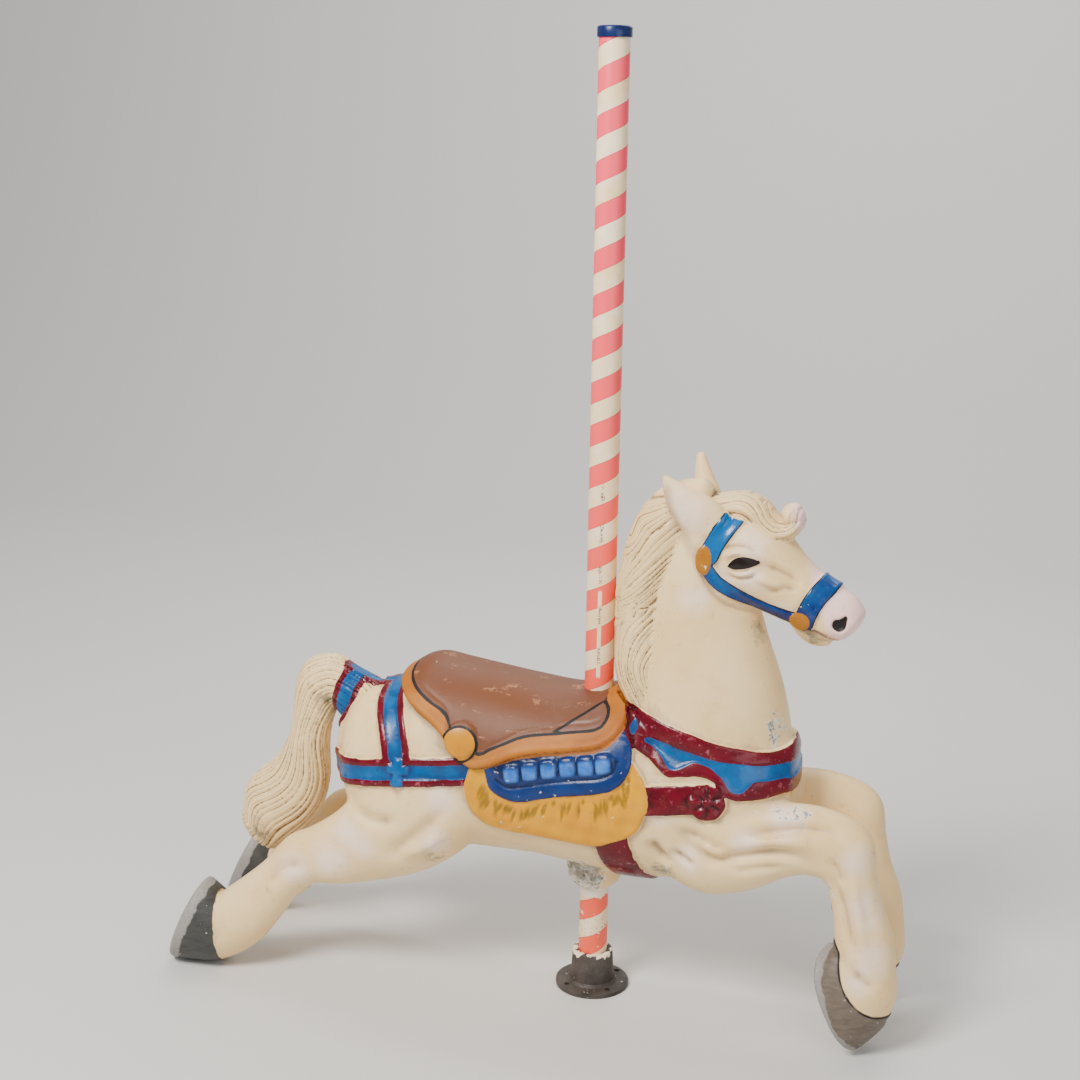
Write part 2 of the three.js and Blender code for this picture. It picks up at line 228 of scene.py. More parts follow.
# ---- the horse's flesh --------------------------------------------------------------------------
TRUNK = [
    (-432, 326, 458, 62), (-408, 272, 490, 104), (-366, 250, 506, 124), (-308, 246, 511, 131),
    (-240, 248, 505, 128), (-170, 248, 498, 126), (-90, 242, 492, 129), (-10, 232, 491, 133),
    (70, 226, 500, 134), (130, 226, 512, 130), (190, 232, 520, 125), (245, 250, 518, 115),
    (290, 290, 506, 97), (318, 340, 488, 70),
]
NECK = [
    (176, 400, 140, 100, 90), (180, 480, 140, 103, 90), (177, 560, 126, 92, 92),
    (167, 645, 108, 77, 90), (164, 715, 92, 67, 84), (170, 770, 74, 60, 74),
    (182, 815, 56, 54, 60), (205, 838, 42, 44, 40),
]
THIGH = [
    (-296, 420, 95, 58, -78, -68), (-276, 346, 118, 66, -100, -74), (-324, 286, 94, 60, -142, -82),
    (-392, 242, 68, 48, -154, -90), (-446, 218, 55, 41, -150, -97), (-488, 206, 47, 37, -146, -101),
    (-525, 170, 41, 34, -136, -105), (-560, 131, 47, 36, -134, -109), (-594, 95, 54, 43, -146, -112),
    (-626, 70, 57, 47, -172, -114), (-642, 67, 58, 48, -180, -114),
]
FORELEG = [
    (150, 345, 95, 44, -10, -70), (205, 322, 92, 54, 0, -76), (262, 324, 78, 52, 14, -78),
    (322, 338, 62, 45, 10, -80), (376, 342, 57, 42, -10, -81), (420, 326, 55, 42, -42, -82),
    (434, 289, 42, 38, -72, -83), (447, 240, 40, 35, -76, -85), (459, 192, 46, 38, -78, -86),
    (466, 146, 48, 40, -98, -87), (467, 120, 56, 44, -118, -87), (463, 106, 60, 46, -136, -88),
]
HIND_HOOF = [(-640, 69, 62, 51, -180, -114), (-667, 73, 71, 54, -191, -114), (-694, 77, 80, 57, -203, -114)]
FORE_HOOF = [(463, 108, 68, 49, -146, -88), (448, 96, 77, 53, -152, -88), (431, 86, 86, 57, -157, -88, 2.4)]
TAIL = [
    (-385, 455, 50, 36, 172), (-436, 480, 46, 33, 166), (-467, 498, 47, 33, 188),
    (-495, 482, 45, 33, 222), (-505, 432, 35, 33, 262), (-514, 385, 36, 35, 262),
    (-529, 327, 52, 39, 250), (-556, 283, 65, 42, 240), (-585, 243, 65, 42, 228),
    (-606, 212, 48, 36, 222),
]
MANE = [
    (90, 515, 40, 62, 94), (78, 575, 47, 72, 94), (72, 640, 45, 68, 92), (74, 715, 46, 63, 84),
    (92, 785, 49, 58, 70), (120, 842, 44, 46, 54), (164, 868, 28, 36, 20),
]
SKULL = [
    (178, 820, 44, 46, -30), (206, 794, 73, 57, -32), (238, 774, 77, 60, -34), (272, 757, 66, 54, -34),
    (305, 738, 54, 45, -34), (338, 719, 48, 40, -34), (368, 704, 47, 41, -34), (391, 693, 42, 42, -36),
    (405, 687, 34, 37, -38),
]
CHIN = [(324, 692, 20, 23, -40), (343, 674, 22, 25, -42), (357, 665, 20, 23, -20), (373, 662, 14, 18, 5)]
EAR = [
    (192, 818, 33, 18, 134, -36), (174, 840, 37, 20, 132, -42), (151, 862, 31, 17, 130, -48),
    (129, 883, 19, 12, 126, -53), (117, 900, 8, 5, 124, -56),
]
FAR_EAR = [
    (168, 832, 24, 18, 112, 36), (158, 857, 22, 18, 108, 42), (148, 884, 17, 14, 105, 47),
    (142, 906, 12, 10, 102, 50), (139, 920, 9, 7, 102, 52),
]
FORELOCK = [
    (166, 848, 14, 26, 34), (190, 857, 16, 30, 20), (212, 858, 20, 35, 6), (234, 857, 23, 37, -8),
    (254, 851, 19, 37, -38), (268, 840, 16, 36, -46), (286, 827, 15, 34, -16), (306, 829, 13, 31, 34),
    (316, 842, 11, 26, 84),
]
FORELOCK_CURL = (308, -3, 852, 17, 27, 17)
SEAT = [
    (-334, 508, 110), (-310, 534, 132), (-280, 549, 145), (-238, 544, 145), (-175, 535, 142),
    (-110, 526, 144), (-45, 519, 148), (15, 523, 149), (50, 529, 149), (90, 531, 145),
]
SEAT_FOOT = 240                  # height inside the trunk from which the seat rises
SKIRT_THICK = 18
LEG_AXIS = 88                    # how far the fore hooves stand from the middle
BOSS = [(33, 186), (44, 198), (47, 216), (53, 262)]     # radius and height
HEAD_TURN = math.radians(-7)
HEAD_PIVOT = np.array([170.0, 0, 0])


def turn_head(points, way=1):
    c, s = math.cos(HEAD_TURN * way), math.sin(HEAD_TURN * way)
    q = points - HEAD_PIVOT
    return np.stack([q[:, 0] * c - q[:, 1] * s, q[:, 0] * s + q[:, 1] * c, q[:, 2]], axis=1) + HEAD_PIVOT


def turn_out(hoof):
    """Swings the outer side of the fore hoof's sole backwards, so its round edge shows from the side."""
    verts, faces = hoof
    toward_sole = np.clip((462 - verts[:, 0]) * 0.82 + (112 - verts[:, 2]) * 0.3, 0, 44) / 44
    back = (-verts[:, 1] - LEG_AXIS) * 0.5 * toward_sole
    return verts + np.outer(back, (-0.92, 0, -0.39)) * (verts[:, 2] > 0)[:, None], faces


def flesh_solids():
    """The bare body and head, and the hair: mane, tail and forelock."""
    trunk = form([(x, (a + b) / 2, (b - a) / 2, w, 0, 0, 2.15) for x, a, b, w in TRUNK],
                 around=90, along=80, dome=(0.25, 0.2))
    limbs = both([form(THIGH), form(FORELEG, along=70), form(HIND_HOOF, dome=(0.1, 0.06)),
                  turn_out(form(FORE_HOOF, dome=(0.1, 0.06)))])
    seat = form([(x, (SEAT_FOOT + top) / 2, (top - SEAT_FOOT) / 2, wide - SKIRT_THICK, 0, 0, 2.2)
                 for x, top, wide in SEAT],
                around=90, along=60, dome=(0.2, 0.3))
    near_ear = form(EAR, dome=(0.2, 1))
    far_ear = form(FAR_EAR, dome=(0.2, 0.8))
    head = [form(SKULL, dome=(0.3, 0.42)), ball(216, 0, 766, 62, 58, 62), form(CHIN, dome=(0.3, 0.5)),
            near_ear, far_ear]
    angles = np.linspace(0, 2 * math.pi, 48, endpoint=False)
    profile = [(0.1, BOSS[0][1])] + BOSS + [(0.1, BOSS[-1][1])]
    boss = skin(np.array([[(r * math.cos(a), r * math.sin(a), z) for a in angles] for r, z in profile]))
    body = [trunk, form(NECK), seat, boss] + limbs
    forelock = combined([form(FORELOCK, dome=(0.3, 0.7)), ball(*FORELOCK_CURL)])
    forelock = (turn_head(forelock[0]), forelock[1])
    head = [(turn_head(v), f) for v, f in head]
    return body + head, [form(MANE, dome=(0.3, 0.6)), form(TAIL, dome=(0.3, 0.5)), forelock]


def tree_of(solids):
    verts, faces = combined(solids)
    return BVHTree.FromPolygons(verts.tolist(), [tuple(int(i) for i in f) for f in faces])


def pick(thing):
    bpy.ops.object.select_all(action="DESELECT")
    thing.select_set(True)
    bpy.context.view_layer.objects.active = thing


def apply_modifier(thing, kind, **settings):
    bpy.context.view_layer.objects.active = thing
    modifier = thing.modifiers.new(kind.lower(), kind)
    for key, value in settings.items():
        setattr(modifier, key, value)
    bpy.ops.object.modifier_apply(modifier=modifier.name)


# ---- hair: combed strands on the mane, tail and forelock ----------------------------------------
def resample(points, step):
    points = np.asarray(points, float)
    smooth = through(points, np.linspace(0, 1, 12 * len(points)))
    length = np.concatenate([[0], np.cumsum(np.linalg.norm(np.diff(smooth, axis=0), axis=1))])
    marks = np.linspace(0, length[-1], max(int(length[-1] / step), 3) + 1)
    return np.stack([np.interp(marks, length, smooth[:, k]) for k in range(smooth.shape[1])], axis=1)


# strands of the mane in side view, from the crest to the throat, each from root to tip
MANE_GUIDES = [
    [(124, 866), (92, 853), (60, 836), (48, 806)],
    [(120, 838), (93, 812), (71, 782), (46, 739), (36, 708)],
    [(150, 812), (112, 778), (77, 744), (38, 706)],
    [(160, 792), (126, 762), (100, 734), (72, 708), (38, 688)],
    [(126, 744), (100, 714), (79, 696), (40, 678)],
    [(70, 690), (49, 668), (42, 633), (44, 592), (55, 560), (74, 524)],
    [(118, 714), (97, 685), (77, 668), (60, 645), (52, 610), (56, 575), (84, 520)],
    [(120, 682), (95, 652), (80, 628), (71, 600), (76, 574), (90, 546), (108, 516)],
    [(118, 640), (101, 610), (93, 589), (99, 560), (117, 512)],
]
MANE_STRANDS = [4, 3.2, 2.6, 2.6, 2.6, 1.6, 3.2, 2.8]


def comb_mane(points):
    """A number that stays the same along each strand and grows by one from strand to strand."""
    flat = points * (1, 0, 1)
    away = [reach(flat, [(a, 0, b) for a, b in resample(g, 6)])[0] for g in MANE_GUIDES]
    nearest = np.full(len(points), 1e9)
    strand = np.zeros(len(points))
    start = 0
    for first, second, count in zip(away[:-1], away[1:], MANE_STRANDS):
        closer = first + second < nearest
        nearest = np.where(closer, first + second, nearest)
        strand = np.where(closer, start + count * first / (first + second + 1e-6), strand)
        start += count
    return strand


def comb_form(points, rows, strands, sway, twist):
    """Strands running along a form: rows are its stations, sway bends them and twist winds them."""
    t = np.linspace(0, 1, 160)
    x, z, deep, _, tilt = through([r[:5] for r in rows], t).T
    run = np.radians(tilt)
    place = np.full(len(points), 1e9)
    across, along = np.zeros(len(points)), np.zeros(len(points))
    for i in range(len(t)):
        dx, dz = points[:, 0] - x[i], points[:, 2] - z[i]
        ahead = dx * math.cos(run[i]) + dz * math.sin(run[i])
        side = -dx * math.sin(run[i]) + dz * math.cos(run[i])
        score = np.abs(ahead) + 0.15 * np.abs(side)
        closer = score < place
        place = np.where(closer, score, place)
        across = np.where(closer, side / deep[i], across)
        along = np.where(closer, t[i], along)
    turn = np.arcsin(np.clip(across, -0.98, 0.98)) / (math.pi / 2)
    return strands * turn + sway * np.sin(twist * along * math.pi) + 1.5 * along


def comb_strands(points, share):
    """The strand number of every hair point, and 0 elsewhere; share says how much each kind of hair holds."""
    strand = np.zeros(len(points))
    mane, tail, forelock = (part > 0.02 for part in share)
    strand[mane] = comb_mane(points[mane])
    strand[tail] = 40 + comb_form(points[tail], TAIL, 8.0, 0.9, 5)
    strand[forelock] = 80 + comb_form(turn_head(points[forelock], -1), FORELOCK, 2.6, 0.35, 4)
    return strand + 0.22 * np.sin(2.3 * strand) + 0.06 * np.sin(points[:, 2] / 17 + points[:, 0] / 23)


def comb_relief(points, strand, deep):
    """Rounded strands with narrow grooves between them, of uneven depth."""
    f = np.abs(2 * (strand - np.floor(strand)) - 1)
    rounded = np.sqrt(np.clip(1 - f * f, 0, 1))
    vary = 0.75 + 0.25 * np.sin(points[:, 2] / 29 + 1.7 * np.floor(strand))
    return deep * vary * (rounded - 0.75)


# ---- reading and shaping the skin ---------------------------------------------------------------
class Skin:
    """The casting's surface as arrays: points in mm, triangles, edges and outward normals."""

    def __init__(self, thing):
        self.mesh = thing.data
        count = len(self.mesh.vertices)
        flat = np.empty(count * 3, np.float32)
        self.mesh.vertices.foreach_get("co", flat)
        self.points = flat.reshape(-1, 3).astype(float) / MM
        self.mesh.calc_loop_triangles()
        tris = np.empty(len(self.mesh.loop_triangles) * 3, np.int32)
        self.mesh.loop_triangles.foreach_get("vertices", tris)
        self.tris = tris.reshape(-1, 3)
        edges = np.empty(len(self.mesh.edges) * 2, np.int32)
        self.mesh.edges.foreach_get("vertices", edges)
        self.edges = edges.reshape(-1, 2)
        self.ends = np.concatenate([self.edges[:, 0], self.edges[:, 1]])
        self.others = np.concatenate([self.edges[:, 1], self.edges[:, 0]])
        self.degree = np.maximum(np.bincount(self.ends, minlength=count), 1)

    def mean(self, values):
        """Each point's value averaged over its neighbours."""
        count = len(self.points)
        if values.ndim == 1:
            return np.bincount(self.ends, values[self.others], count) / self.degree
        return np.stack([self.mean(values[:, k]) for k in range(values.shape[1])], axis=1)

    def blur(self, values, rounds):
        for _ in range(rounds):
            values = 0.5 * values + 0.5 * self.mean(values)
        return values

    def normals(self):
        a, b, c = (self.points[self.tris[:, k]] for k in range(3))
        face = np.cross(b - a, c - a)
        total = np.zeros_like(self.points)
        for k in range(3):
            for axis in range(3):
                total[:, axis] += np.bincount(self.tris[:, k], face[:, axis], len(self.points))
        return total / (np.linalg.norm(total, axis=1)[:, None] + 1e-12)

    def fill(self, rounds, share):
        """Fills creases where forms meet and leaves the crests as they are."""
        smooth = self.blur(self.points, rounds)
        n = self.normals()
        rise = np.maximum(((smooth - self.points) * n).sum(1), 0) * share
        self.points = self.points + n * rise[:, None]

    def relax(self, rounds, share):
        smooth = self.blur(self.points, rounds)
        self.points = self.points + (smooth - self.points) * share[:, None]

    def tree(self):
        return BVHTree.FromPolygons(self.points.tolist(), self.tris.tolist())

    def write(self):
        self.mesh.vertices.foreach_set("co", (self.points * MM).astype(np.float32).ravel())
        self.mesh.update()

    def keep(self, name, values):
        field = self.mesh.attributes.new(name, "FLOAT", "POINT")
        field.data.foreach_set("value", np.clip(values, FAR, 120).astype(np.float32))


def ray_to_side(tree, turned=False):
    """A function that gives y on the skin at a side-view place (x, z), from the right (-1) or left (+1)."""
    def ground(x, z, side):
        start = np.array([[x, side * 400.0, z]])
        aim = np.array([[x, 0.0, z]])
        if turned:
            start, aim = turn_head(start), turn_head(aim)
        way = Vector(aim[0] - start[0]).normalized()
        spot = tree.ray_cast(Vector(start[0]), way, 800)[0]
        if spot is None:
            return None
        return turn_head(np.array([list(spot)]), -1)[0][1] if turned else spot.y
    return ground


def reach(points, line):
    """Distance from every point to a line of points, and how far along it the nearest place is."""
    line = np.asarray(line, float)
    best = np.full(len(points), 1e9)
    along = np.zeros(len(points))
    total = len(line) - 1
    for i in range(total):
        a, ab = line[i], line[i + 1] - line[i]
        t = np.clip((points - a) @ ab / max(ab @ ab, 1e-9), 0, 1)
        away = points - a - t[:, None] * ab
        d = (away * away).sum(1)
        closer = d < best
        best = np.where(closer, d, best)
        along = np.where(closer, (i + t) / total, along)
    return np.sqrt(best), along


def inside(x, z, loop):
    """Even-odd test of side-view places against a closed loop."""
    hit = np.zeros(len(x), bool)
    for (x0, z0), (x1, z1) in zip(loop, np.roll(loop, -1, axis=0)):
        spans = (z0 > z) != (z1 > z)
        if z1 != z0:
            hit ^= spans & (x < (x1 - x0) * (z - z0) / (z1 - z0) + x0)
    return hit


class Drawing:
    """Side-view lines laid on the skin, the same on both sides, and distances to them in mm."""

    def __init__(self, points, ground):
        self.points = points * (1, 0, 1) + np.abs(points) * (0, 1, 0)
        self.ground = ground

    def lay(self, outline, smooth=True, step=6):
        outline = resample(outline, step) if smooth else np.asarray(outline, float)
        laid = []
        for x, z in outline:
            y = self.ground(x, z, -1)
            laid.append((x, -y if y is not None else 0.0, z))
        return np.array(laid)

    def near(self, laid, margin):
        low, high = laid.min(0) - margin, laid.max(0) + margin
        return np.all((self.points >= low) & (self.points <= high), axis=1)

    def line(self, outline, margin=45, smooth=True):
        """Distance to an open line; 80 where it is far away."""
        laid = self.lay(outline, smooth)
        pick = self.near(laid, margin)
        away = np.full(len(self.points), float(-FAR))
        along = np.zeros(len(self.points))
        away[pick], along[pick] = reach(self.points[pick], laid)
        return away, along

    def patch(self, outline, closing=(), margin=45, smooth=True):
        """Signed distance to an outline, positive inside; closing points go round where no edge shows."""
        laid = self.lay(outline, smooth)
        pick = self.near(laid, margin)
        away = np.full(len(self.points), float(-FAR))
        away[pick] = reach(self.points[pick], laid)[0]
        loop = [(p[0], p[2]) for p in laid] + list(closing)
        within = inside(self.points[:, 0], self.points[:, 2], np.array(loop))
        return np.where(within, away, -away)

    def band(self, outline, width, margin=45):
        """Signed distance to the edge of a strap of that width, and the distance from its middle."""
        away = self.line(outline, margin)[0]
        return width / 2 - away, away

    def offset(self, x, z):
        y = self.ground(x, z, -1)
        return self.points - np.array([x, -y if y is not None else 0.0, z])

    def spot(self, x, z, radius):
        return radius - np.linalg.norm(self.offset(x, z), axis=1)

    def spots(self, places):
        return np.maximum.reduce([self.spot(*place) for place in places])

    def egg(self, x, z, rx, rz):
        """An upright oval plate."""
        away = self.offset(x, z)
        oval = np.sqrt((away[:, 0] / rx) ** 2 + (away[:, 2] / rz) ** 2)
        return np.where(np.abs(away[:, 1]) < 30, (1 - oval) * min(rx, rz), FAR)

    def bar(self, x, z, wide, tall):
        """An upright rectangle."""
        away = np.abs(self.offset(x, z))
        field = np.minimum(wide / 2 - away[:, 0], tall / 2 - away[:, 2])
        return np.where(away[:, 1] < 30, field, FAR)

    def pad(self, x, z, size, tilt):
        """A small square cushion with rounded corners, tilted in degrees."""
        away = self.offset(x, z)
        c, s = math.cos(math.radians(tilt)), math.sin(math.radians(tilt))
        u, v = np.abs(away[:, 0] * c + away[:, 2] * s), np.abs(away[:, 2] * c - away[:, 0] * s)
        field = size / 2 - (u ** 5 + v ** 5) ** 0.2
        return np.where(np.abs(away[:, 1]) < 30, field, FAR)


def step_up(field, height, width):
    """A rounded step: 0 outside the edge, the full height once width inside it."""
    t = np.clip(field / width + 0.5, 0, 1)
    return height * t * t * (3 - 2 * t)


def ridge(away, height, width):
    return height * np.exp(-(away / width) ** 2)


def ends_fade(along, share=0.15):
    return np.clip(np.minimum(along, 1 - along) / share, 0, 1)


# ---- saddle and harness: outlines in side view, mm ----------------------------------------------
SKIRT = [
    (-324, 582), (-338, 559), (-338, 541), (-330, 527), (-314, 515), (-286, 498), (-252, 478), (-231, 460),
    (-214, 438), (-193, 422), (-176, 416), (-158, 419), (-138, 426), (-108, 439), (-73, 448), (-30, 454),
    (19, 463), (39, 471), (52, 481), (63, 495), (67, 510), (60, 528), (50, 548),
]
SEAT_LINE_REAR = [(-290, 577), (-309, 558), (-306, 544), (-286, 530), (-254, 512), (-230, 500), (-214, 478)]
SEAT_LINE_FRONT = [
    (-172, 444), (-146, 454), (-124, 464), (-103, 474), (-79, 480), (-49, 484), (-21, 489), (11, 494),
    (28, 501), (35, 512), (34, 522), (24, 530),
]
OVER_POMMEL = (10, 560)      # closes the saddle outlines above the horse's back
POMMEL_PANEL = [(-50, 485), (-34, 495), (-19, 505), (0, 516), (22, 529)]
SKIRT_DISC = (-199, 458, 29)
BLANKET = [
    (-158, 460), (-158, 425), (-153, 402), (-146, 387), (-132, 377), (-110, 371), (-88, 373), (-64, 380),
    (-39, 387), (-1, 394), (37, 402), (59, 411), (73, 424), (82, 442), (84, 461), (80, 480), (66, 500),
]
BLANKET_CHANNEL = [
    (-136, 404), (-118, 394), (-98, 396), (-70, 404), (-38, 412), (0, 419), (34, 425), (54, 436), (60, 452),
]
PAD_ROW = [(-110, 415), (-80, 423), (-49, 430), (-18, 436), (12, 441), (40, 447)]
FLEECE = [
    (-178, 440), (-184, 414), (-191, 389), (-188, 363), (-177, 341), (-160, 325), (-139, 317), (-108, 314),
    (-42, 312), (25, 309), (57, 320), (85, 334), (101, 349), (110, 371), (114, 392), (110, 416),
    (100, 436), (84, 456),
]
COLLAR_TOP = [
    (56, 534), (87, 527), (121, 518), (171, 505), (217, 493), (262, 483), (295, 479), (314, 480), (340, 478),
]
COLLAR_LOW = [
    (340, 410), (322, 413), (300, 410), (273, 408), (251, 407), (233, 413), (223, 425), (213, 435),
    (195, 441), (163, 438), (144, 436), (130, 443), (113, 456), (92, 470), (66, 484), (56, 496),
]
INLAY = [
    (98, 489), (125, 487), (172, 476), (218, 466), (265, 461), (306, 460), (345, 455), (345, 431), (321, 438),
    (301, 438), (277, 436), (268, 427), (255, 419), (240, 424), (228, 440), (212, 453), (195, 460),
    (178, 461), (166, 454), (151, 448), (138, 453), (128, 465), (112, 477), (100, 483), (98, 489),
]
GIRTH = [(54, 330), (62, 292), (76, 252), (92, 222), (96, 200)]
SIDE_STRAP = [(96, 395), (150, 401), (206, 409)]
ROSETTE = (207, 403, 30)
BREECHING = [(-180, 410), (-232, 403), (-298, 397), (-335, 391), (-374, 385), (-410, 379), (-440, 374)]
HIP_STRAP = [(-346, 524), (-342, 505), (-333, 484), (-322, 462), (-314, 440), (-307, 412)]
CRUPPER = [(-409, 528), (-424, 512), (-433, 490), (-440, 466), (-446, 440)]
EYE = [
    (222, 773), (230, 784), (243, 791), (259, 791), (274, 784), (262, 776), (247, 771), (232, 769),
    (222, 773),
]
NOSTRIL = [(386, 691), (388, 701), (397, 703), (408, 709), (408, 698), (405, 687), (394, 683), (386, 691)]
BROW_BAND = [(240, 874), (226, 849), (211, 826), (198, 802), (191, 786)]
CHEEK_BAND = [(188, 766), (205, 746), (232, 728), (262, 713), (294, 701), (324, 695)]
NOSE_BAND = [(383, 772), (374, 752), (361, 735), (349, 712), (341, 690)]
MOUTH = [(346, 678), (362, 676), (380, 667), (398, 663), (414, 667)]
CHEEK_DISC = (183, 778, 13, 24)
BIT_DISC = (335, 692, 17, 15)
MUSCLE_GROOVES = [
    # outline, depth, width
    ([(258, 351), (275, 357), (316, 368), (350, 375), (385, 376), (405, 371), (408, 364), (400, 354)], 5, 9),
    ([(150, 365), (161, 350), (188, 324), (215, 311), (240, 312), (265, 320), (311, 331), (345, 330),
      (367, 320), (380, 306)], 6, 12),
    ([(161, 350), (190, 345), (220, 333), (250, 328)], 3.5, 9),
    ([(152, 316), (167, 303), (181, 296), (192, 286)], 4, 8),
    ([(230, 298), (265, 296), (304, 304), (345, 308)], 2.5, 8),
    ([(118, 332), (127, 311), (138, 295), (150, 284)], 7, 10),
    ([(401, 336), (411, 322), (419, 306), (424, 288)], 3, 8),
    ([(407, 303), (414, 285), (422, 262), (431, 232), (440, 200), (449, 166)], 4.5, 8),
    ([(442, 153), (460, 140), (478, 129), (488, 123)], 3.5, 8),
    ([(-400, 322), (-380, 318), (-350, 310), (-317, 313), (-296, 322)], 4.5, 12),
    ([(-212, 350), (-237, 324), (-271, 289), (-307, 259), (-335, 240)], 4, 14),
    ([(-455, 212), (-500, 205), (-530, 180), (-545, 150)], 3, 12),
    ([(165, 789), (171, 762), (186, 734), (208, 713), (240, 697), (262, 688)], 4, 5),
]
MUSCLE_RIDGES = [
    ([(262, 338), (316, 350), (360, 352), (392, 340)], 3, 10),
    ([(200, 336), (225, 322), (245, 320)], 3, 8),
    ([(440, 320), (447, 260), (462, 200), (470, 165)], 2.5, 8),
    ([(-222, 300), (-260, 272), (-300, 250)], 3, 12),
]
HEAD_GROOVES = [
    ([(273, 783), (286, 777), (303, 770), (322, 760), (336, 748)], 4, 6),
    ([(212, 763), (232, 756), (252, 757), (270, 764)], 2, 5),
    ([(283, 734), (300, 742), (322, 744), (334, 742)], 2.5, 6),
    ([(206, 796), (223, 803), (241, 806), (257, 803), (270, 794)], 2, 4),
]
HEAD_RIDGES = [
    ([(212, 784), (226, 793), (243, 797), (259, 794), (272, 786)], 5.0, 5),
    ([(222, 764), (240, 760), (258, 766), (272, 776)], 2.5, 4),
    ([(262, 762), (290, 752), (318, 738)], 4, 8),
]
CROUP_STRAP = [(-425, 524), (-390, 516), (-352, 518)]
CROSS = (-304, 401)
KNOB = (-304, 379, 11)
BOSS_HOLE = (-7, 217, 3.5)
CORONET = (521, 167, 97)         # x, z and radius of the curve where the fore hoof meets the leg
HIND_AXIS = 114                  # how far the hind hooves stand from the middle
PAD_SIZE = 25
STRAP_JOINTS = [[(-340, 406), (-340, 380)], [(-283, 411), (-283, 385)]]
EAR_SHADE = [(112, 884), (118, 856), (136, 820), (158, 790), (176, 772)]
SOILED = [
    # x, z and radius of the places grey with old dirt
    (352, 668, 20), (300, 680, 16), (262, 664, 16), (-250, 250, 13), (-10, 232, 34), (138, 268, 16),
    (-470, 470, 14), (-592, 222, 22),
]
PINK_WHITE_PATCHES = [
    # x, z and radius of the pink-white patches on the high places: partly worn paint, partly painted
    # highlight
    (-396, 275, 30), (-368, 263, 26), (-422, 228, 34), (-240, 280, 26), (-230, 360, 30), (-490, 205, 30),
    (330, 385, 34), (270, 345, 24), (445, 330, 26), (462, 250, 34), (475, 170, 34), (455, 130, 20),
    (180, 300, 26), (130, 380, 26), (150, 850, 34), (130, 880, 24), (205, 745, 26), (250, 810, 30),
    (165, 720, 26), (300, 700, 22), (250, 755, 24), (308, 840, 14),
]
WORN = [
    # x, z and radius of the places chipped to grey metal or filler
    (-12, 218, 44), (-8, 258, 20), (301, 512, 24), (298, 492, 17), (405, 278, 14), (403, 260, 12),
    (136, 268, 14), (350, 394, 21), (322, 392, 16), (110, 902, 9), (128, 905, 8), (-470, 545, 10),
]


def harness_fields(body):
    """Signed distances in mm, positive inside, of the saddle, its cloths and the harness."""
    f = {}
    _, y, z = body.points.T
    f["saddle"] = body.patch(SKIRT, [OVER_POMMEL, (-345, 640)])
    f["seat"] = body.patch(SEAT_LINE_REAR + SEAT_LINE_FRONT, [OVER_POMMEL, (-285, 640)])
    f["panel"] = body.patch(POMMEL_PANEL, SEAT_LINE_FRONT[::-1][1:6], smooth=False)
    f["disc"] = body.spot(*SKIRT_DISC)
    f["blanket"] = np.where(y > 60, body.patch(BLANKET), FAR)
    f["channel"] = 3.0 - body.line(BLANKET_CHANNEL)[0]
    pads = [body.pad(px, pz, PAD_SIZE, 11) for px, pz in PAD_ROW]
    f["pads"] = np.maximum.reduce(pads)
    f["fleece"] = np.where(y > 60, body.patch(FLEECE), FAR)
    collar = body.patch(COLLAR_TOP + COLLAR_LOW)
    inlay = np.maximum(body.patch(INLAY), body.egg(79, 503, 6, 10))
    girth = np.where(z < 345, body.band(GIRTH, 57)[0], FAR)
    side = body.band(SIDE_STRAP, 48)[0]
    rosette = body.spot(*ROSETTE)
    breeching, breeching_mid = body.band(BREECHING, 47)
    hip, hip_mid = body.band(HIP_STRAP, 48)
    crupper, crupper_mid = body.band(CRUPPER, 42)
    croup, croup_mid = body.band(CROUP_STRAP, 46)
    cross_bar = np.maximum(body.bar(*CROSS, 14, 34), body.bar(*CROSS, 34, 14))
    knob = body.spot(*KNOB)
    f["harness"] = np.maximum.reduce([collar, girth, side, rosette, breeching, hip, crupper, croup])
    blue = [inlay, 12 - breeching_mid, 12 - hip_mid, 11 - crupper_mid, 11 - croup_mid, cross_bar, knob]
    f["harness_blue"] = np.maximum.reduce(blue)
    f["cross"] = np.maximum(cross_bar, knob)
    f["rosette"] = rosette
    f["boss_hole"] = body.spot(*BOSS_HOLE)
    f["strap_joint"] = 1.6 - np.minimum.reduce([body.line(j)[0] for j in STRAP_JOINTS])
    return f


def head_fields(head):
    """Signed distances of the halter and the face, on the head as if it looked straight ahead."""
    f = {}
    bands = ((BROW_BAND, 33), (CHEEK_BAND, 23), (NOSE_BAND, 33))
    f["halter"] = np.maximum.reduce([head.band(line, width)[0] for line, width in bands])
    f["gold"] = np.maximum(head.egg(*CHEEK_DISC), head.egg(*BIT_DISC))
    f["eye"] = head.patch(EYE)
    f["nostril"] = head.patch(NOSTRIL)
    f["mouth"] = 2.0 - head.line(MOUTH)[0]
    x, _, z = head.points.T
    f["muzzle"] = np.where(x > 300, (x - 368) * 0.93 + (z - 712) * 0.36, FAR)
    return f


